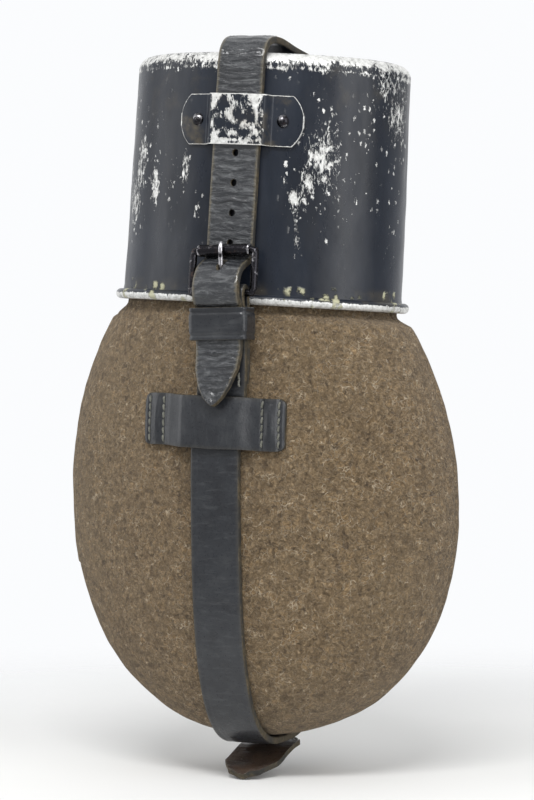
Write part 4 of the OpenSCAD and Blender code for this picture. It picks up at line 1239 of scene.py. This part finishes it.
    split = next(i for i, (y, z) in enumerate(upper) if y < -37.5 and z < ROLLER_Z - 2)
    over_cup, free_end = upper[:split + 1], upper[split:]
    _, over_at = resample(over_cup, 0.5)
    # The high value of 0.75 fades the strap over the cup and its free end with wear and lightens them with
    # painted sheen.
    upper_strap = strap_piece("strap_over_cup", over_cup, upper_start, upper_relief, lambda s: 0.75, "cup",
                              worn_leather, edge, half=upper_half, step=0.5, lay=lay_upper,
                              stands_for=["strap_upper"])
    tail_strap = strap_piece("strap_free_end", free_end, upper_start + over_at[-1], upper_relief,
                             lambda s: 0.75, "root", worn_leather, edge, half=upper_half, step=0.5,
                             lay=lay_upper, stands_for=["strap_tail"])
    cutters = [prism(f"hole_cutter_{i}", ring(1.15, 1.25, (0.1, 206 - i * 10.4)), -50, -30, "y", edge)
               for i in range(4)]
    for cutter in cutters:
        points = np.array([v.co for v in cutter.data.vertices], float)
        leaned = on_frame(on_cup((points - ORIGIN) / MM))
        cutter.data.vertices.foreach_set("co", leaned.ravel())
    cut(upper_strap, cutters)
    prong_hole = ring(1.3, 2.2, (BUCKLE_X + 0.3, BAR_Z + 10))
    cut(tail_strap, [prism("prong_cutter", prong_hole, -60, -41, "y", edge)])


def keeper_piece(leather, edge):
    """The leather loop that holds the free end, with a pressed line along both borders."""
    low, high = mm_box("strap_keeper")
    middle_x = (low[0] + high[0]) / 2
    outer_x, wall = (high[0] - low[0]) / 2, 1.5
    near, far = low[1], high[1]
    centre = (near + far) / 2
    half_y = (far - near) / 2
    corner = 2.0
    rows = 26
    outline = []
    for cx, cy, first in ((1, 1, 0), (-1, 1, 90), (-1, -1, 180), (1, -1, 270)):
        for t in range(0, 91, 15):
            a = math.radians(first + t)
            outline.append((cx, cy, math.cos(a), math.sin(a)))
    dense = []
    for i, item in enumerate(outline):
        dense.append(item)
        if (i + 1) % 7 == 0:
            following = outline[(i + 1) % len(outline)]
            for k in range(1, 12):
                dense.append((lerp(item[0], following[0], k / 12), lerp(item[1], following[1], k / 12),
                              *following[2:]))
    cols = len(dense)
    outer, inner, across, along = [], [], [], []
    for i in range(rows + 1):
        z = lerp(low[2], high[2], i / rows)
        share = i / rows
        line = 0.34 * sum(math.exp(-((share - place) / 0.045) ** 2) for place in (0.15, 0.85))
        crown = 0.25 * math.sin(math.pi * share)
        for k, (cx, cy, nx, ny) in enumerate(dense):
            ripple = 0.06 * fleck(k / 5, z / 3, 7.1)
            x = middle_x + cx * (outer_x - corner)
            y = centre + cy * (half_y - corner)
            for store, reach in ((outer, corner + crown - line + ripple - 0.2), (inner, corner - wall)):
                store.append([x + nx * reach, y + ny * reach, z])
            across.append(0.6 * math.sin(4 * math.pi * k / cols))
            along.append(z * MM * 0.5)
    count = len(outer)
    faces = grid_faces(rows + 1, cols, wrap=True)
    faces += grid_faces(rows + 1, cols, wrap=True, first=count, turn=True)
    slots = [0] * len(faces)
    for i in (0, rows):
        for k in range(cols):
            a, b = i * cols + k, i * cols + (k + 1) % cols
            faces.append([a, b, count + b, count + a])
            slots.append(1)
    values = {"across": across * 2, "along": along * 2, "wear_and_sheen": [0.08] * 2 * count}
    piece = make_piece("keeper_band", outer + inner, faces, [leather, edge], "keeper",
                       face_slots=slots, values=values, sharp=50, stands_for=["strap_keeper"])
    bevelled(piece, 0.35)


LOOP_HALF = 26.5
LOOP_T = 2.0
LOOP_RISE = 11.4
LOOP_GAP = STRAP_T + 2 * PLAY + 0.3
STITCH_ROWS = (18.6, 24.4)
STITCH_STEPS = (-1, -0.6, -0.2, 0.2, 0.6, 1)


def stitch(path, radius, thread):
    return tube("stitch", path, radius, thread, None, sides=8)


def loop_piece(name, node, front, z_range, leather, edge, thread, middle=0.0, slope=0.0):
    """Leather loop sewn to the felt, bulging between its two rows of stitches at each end."""
    z0, z1 = z_range
    sign = -1 if front else 1
    cols, rows = 150, 36
    corner = 3.0

    def lift(x):
        return PLAY + (LOOP_GAP - PLAY) * (1 - smooth((abs(x) - LOOP_RISE + 2) / 8))

    def surface(x, z, out):
        return face_y(x + middle, z, front) + sign * out

    def top_relief(x, share):
        away = abs(x)
        bulge = 0.95 * math.exp(-((away - 21.5) / 1.6) ** 2)
        groove = -0.55 * sum(math.exp(-((away - row) / 0.55) ** 2) for row in STITCH_ROWS)
        sag = 0.28 * math.sin(math.pi * share) * (1 - smooth((away - 8) / 6))
        end = -0.5 * smooth((away - 25.3) / 1.2)
        return bulge * math.sin(math.pi * min(max(share, 0.08), 0.92)) + groove + sag + end + \
            0.10 * fleck(x / 4, share * 4, 2.7)

    outer, inner, across, along = [], [], [], []
    for i in range(rows + 1):
        for j in range(cols + 1):
            x = lerp(-LOOP_HALF, LOOP_HALF, j / cols)
            to_end = LOOP_HALF - abs(x)
            cut_in = corner - math.sqrt(max(0.0, corner ** 2 - max(0.0, corner - to_end) ** 2))
            wave = 0.35 * fleck(x / 9, front, 1.3)
            z = lerp(z0 + cut_in * 0.7, z1 - cut_in * 0.7, i / rows) + wave + slope * x
            share = i / rows
            dome = 0.3 * (1 - (2 * share - 1) ** 4)
            outer.append([x + middle, surface(x, z, lift(x) + LOOP_T - 0.3 + dome + top_relief(x, share)), z])
            inner.append([x + middle, surface(x, z, lift(x) - 0.25 * smooth((abs(x) - 16) / 3)), z])
            across.append(2 * share - 1)
            along.append(x * MM)
    faces, slots = closed_sheet(rows + 1, cols + 1)
    values = {"across": across * 2, "along": along * 2, "wear_and_sheen": [0.0] * 2 * len(outer)}
    piece = make_piece(name, outer + inner, faces, [leather, edge], "root", face_slots=slots,
                       values=values, sharp=50, stands_for=[node])
    bevelled(piece, 0.4)

    stitches = []
    per_row = 6
    for side in (-1, 1):
        for row, x in enumerate(STITCH_ROWS):
            for i in range(per_row):
                step = (z1 - z0 - 2) / per_row
                mid = z0 + 1 + step * (i + 0.5) + slope * side * x
                path = []
                for k in range(7):
                    t = lerp(-1, 1, k / 6)
                    z = mid + t * step * 0.40
                    x_at = side * x + 0.18 * t * side
                    share = (z - slope * x_at - z0) / (z1 - z0)
                    out = lift(x_at) + LOOP_T + top_relief(x_at, share) + 0.22 - 0.75 * t ** 4
                    path.append([x_at + middle, surface(x_at, z, out), z])
                stitches.append(stitch(path, 0.42, thread))
    joined(f"{name}_thread", stitches, "root", [f"{node}_stitches"])


def chape_threads(thread):
    """Stitches that hold the strap's fold round the hinge bar."""
    stitches = []
    for side in (-1, 1):
        for i in range(2):
            mid = 126.2 + 2.4 * i
            path = [[BUCKLE_X + side * 6.5, -44.75 + 0.5 * abs(t) ** 3, mid + 0.95 * t] for t in STITCH_STEPS]
            stitches.append(stitch(path, 0.36, thread))
    joined("chape_thread", stitches, "root", ["chape_stitches"])


# ---------- buckle ----------

BUCKLE_HALF = STRAP_HALF + 1.2 + BAR_R


def make_buckle(steel, bright_steel):
    """Wire frame with rounded corners, a rolled sleeve on its top bar, and the prong."""
    lean = np.array([0, ROLLER_Y - BAR_Y, BUCKLE_H])
    corner = 1.6
    path = []
    corners = [np.array([BUCKLE_X + side * BUCKLE_HALF, BAR_Y, BAR_Z]) + lean * share
               for side, share in ((-1, 0), (1, 0), (1, 1), (-1, 1))]
    for a, b in zip(corners, corners[1:] + corners[:1]):
        along = (b - a) / np.linalg.norm(b - a)
        length = np.linalg.norm(b - a)
        for t in np.linspace(corner, length - corner, 14):
            path.append(a + along * t)
        path.append(b - along * corner * 0.35)
    tube("buckle_wire", path, BAR_R, steel, "root", ["buckle_frame"], sides=20,
         closed=True, wear=0.45)
    half = STRAP_HALF + 0.7
    bore = 1.46
    profile = [(bore, -half), (ROLLER_R - 0.15, -half), (ROLLER_R, -half + 0.15),
               (ROLLER_R + 0.08, -half + 0.5), (ROLLER_R, -half + 0.95), (ROLLER_R - 0.07, -half + 1.25)]
    profile += [(ROLLER_R, x) for x in np.linspace(-half + 1.6, half - 1.6, 24)]
    profile += [(r, -x) for r, x in profile[5::-1]]
    cols = 40
    points, wear = [], []
    for r, x in profile:
        for k in range(cols):
            a = 2 * math.pi * k / cols
            out = r - 0.10 * math.exp(-((k - 9) / 0.8) ** 2)
            points.append([BUCKLE_X + x, ROLLER_Y + out * math.cos(a), ROLLER_Z + out * math.sin(a)])
            wear.append(1.0 if abs(x) > half - 0.8 else 0.35 + 0.25 * fleck(x / 3, k / 6, 1.0))
    make_piece("roller_sleeve", points, looped_tube(len(profile), cols), [steel], "roller",
               values={"wear": wear}, stands_for=["buckle_roller"], sharp=50)
    eye_r = 2.35
    eye = [[BUCKLE_X, BAR_Y + eye_r * math.cos(math.radians(t)), BAR_Z + eye_r * math.sin(math.radians(t))]
           for t in range(-60, 171, 15)]
    rise = [(BAR_Y - 1.2, BAR_Z + 3.4), (BAR_Y - 0.6, BAR_Z + 5), (BAR_Y - 0.7, BAR_Z + 9),
            (ROLLER_Y - ROLLER_R - 1.35, ROLLER_Z - 1.4), (ROLLER_Y - ROLLER_R - 1.45, ROLLER_Z + 0.6),
            (ROLLER_Y - ROLLER_R - 0.8, ROLLER_Z + 2.5)]
    path = eye + [[BUCKLE_X, y, z] for y, z in spline(rise, 0.7)]
    radii = [0.85] * (len(path) - 6) + [0.84, 0.82, 0.8, 0.76, 0.7, 0.56]
    tube("prong_wire", path, radii, bright_steel, "prong", ["buckle_prong"], wear=0.8)


# ---------- tongue under the bottle ----------

def rear_tongue(flesh, edge, thread):
    """The tongue sewn on under the bottle, its brown flesh side turned forward."""
    hinge_y, hinge_z = 9.0, -3.7
    curve = spline([(hinge_y, hinge_z - 0.9), (4, -5.1), (-2, -6.2), (-10, -8.9), (-22.6, -12.5)], 0.6)
    curve, at = resample(curve, 0.6)
    length = at[-1]
    cols = 28
    half_t = 1.0
    outer, inner, across, along = [], [], [], []
    for i, (y, z) in enumerate(curve):
        ahead = curve[min(i + 1, len(curve) - 1)] - curve[max(i - 1, 0)]
        ty, tz = ahead / np.linalg.norm(ahead)
        half = lerp(10.0, 6.0, smooth((-y - 13) / 8.5))
        if y < -20.5:
            half = min(half, lerp(6.0, 2.6, smooth((-y - 20.5) / 2.1)))
        for k in range(cols + 1):
            u = lerp(-1, 1, k / cols)
            curl = 0.9 * (u * u) * smooth((-y - 2) / 16) + 0.25 * fleck(u * 2, y / 6, 3.3)
            normal = np.array([tz, -ty])
            for store, side in ((outer, 1), (inner, -1)):
                store.append([u * half, y + normal[0] * side * half_t, z + normal[1] * side * half_t + curl])
            across.append(u)
            along.append(at[i] * MM)
    faces, slots = closed_sheet(len(curve), cols + 1)
    values = {"across": across * 2, "along": along * 2, "wear_and_sheen": [0.15] * 2 * len(outer)}
    piece = make_piece("tongue", outer + inner, faces, [flesh, edge], "rear_tab", face_slots=slots,
                       values=values, sharp=50, stands_for=["rear_tab"])
    bevelled(piece, 0.3)
    stitches = []
    for x in (-7.5, -4.5, -1.5, 1.5, 4.5, 7.5):
        path = [[x + t, hinge_y + 0.55, hinge_z + 0.35 - 0.25 * t * t] for t in STITCH_STEPS]
        stitches.append(stitch(path, 0.36, thread))
    joined("tongue_thread", stitches, "root", ["rear_tab_stitches"])


# ---------- CAD nodes that stay ----------

def repaint(node, material):
    """Gives a CAD node a detailed material."""
    materials = frame["nodes"][node].data.materials
    materials.clear()
    materials.append(material)


# ---------- build ----------

make_camera()
make_stage()

felt = felt_material()
paint = paint_material("cup_enamel")
bracket_paint = paint_material("bracket_enamel", wear_bias=0.05, rust=0.35)
stopper_paint = paint_material("stopper_enamel", wear_bias=0.55)
leather = leather_material("bridle_leather", wear_and_sheen=0.10)
worn_leather = leather_material("worn_leather", wear_and_sheen=0.15, gloss=0.35)
flesh = leather_material("tongue_leather", wear_and_sheen=0.15, brown=0.8)
cut_edge = cut_edge_material()
thread = thread_material()
buckle_steel = steel_material("blackened_steel")
prong_steel = steel_material("rubbed_steel", rubbed=0.6, rust=0.15)
snap_steel = steel_material("lacquered_snaps", dark=(0.035, 0.037, 0.040), rubbed=0.2)
aluminium = aluminium_material()

felt_panel("felt_front", 0.0, -math.pi, "cover_front", felt, 0.5)
felt_panel("felt_back", math.pi - 0.004, 0.004, "cover_back", felt, 0.5)
felt_flap(felt)
cup_piece(paint)
bracket_piece(bracket_paint)
rivet_heads(buckle_steel)
make_straps(leather, worn_leather, cut_edge)
keeper_piece(leather, cut_edge)
loop_piece("loop_front", "front_loop", True, (104, 122), leather, cut_edge, thread, middle=-2.0,
           slope=-0.052)
loop_piece("loop_rear", "rear_loop", False, (52, 70), leather, cut_edge, thread)
chape_threads(thread)
make_buckle(buckle_steel, prong_steel)
rear_tongue(flesh, cut_edge, thread)

for node, material in {"bottle_shell": aluminium, "neck_collar": aluminium, "stopper_cap": stopper_paint,
                       "stopper_gasket": cork_material(), "cover_snap_caps": snap_steel,
                       "cover_snap_studs": snap_steel, "hook_tab": leather, "hook_tab_rivet": buckle_steel,
                       "hook_body": buckle_steel, "hook_gate": buckle_steel, "hook_gate_pin": aluminium,
                       "hook_gate_spring": aluminium}.items():
    repaint(node, material)
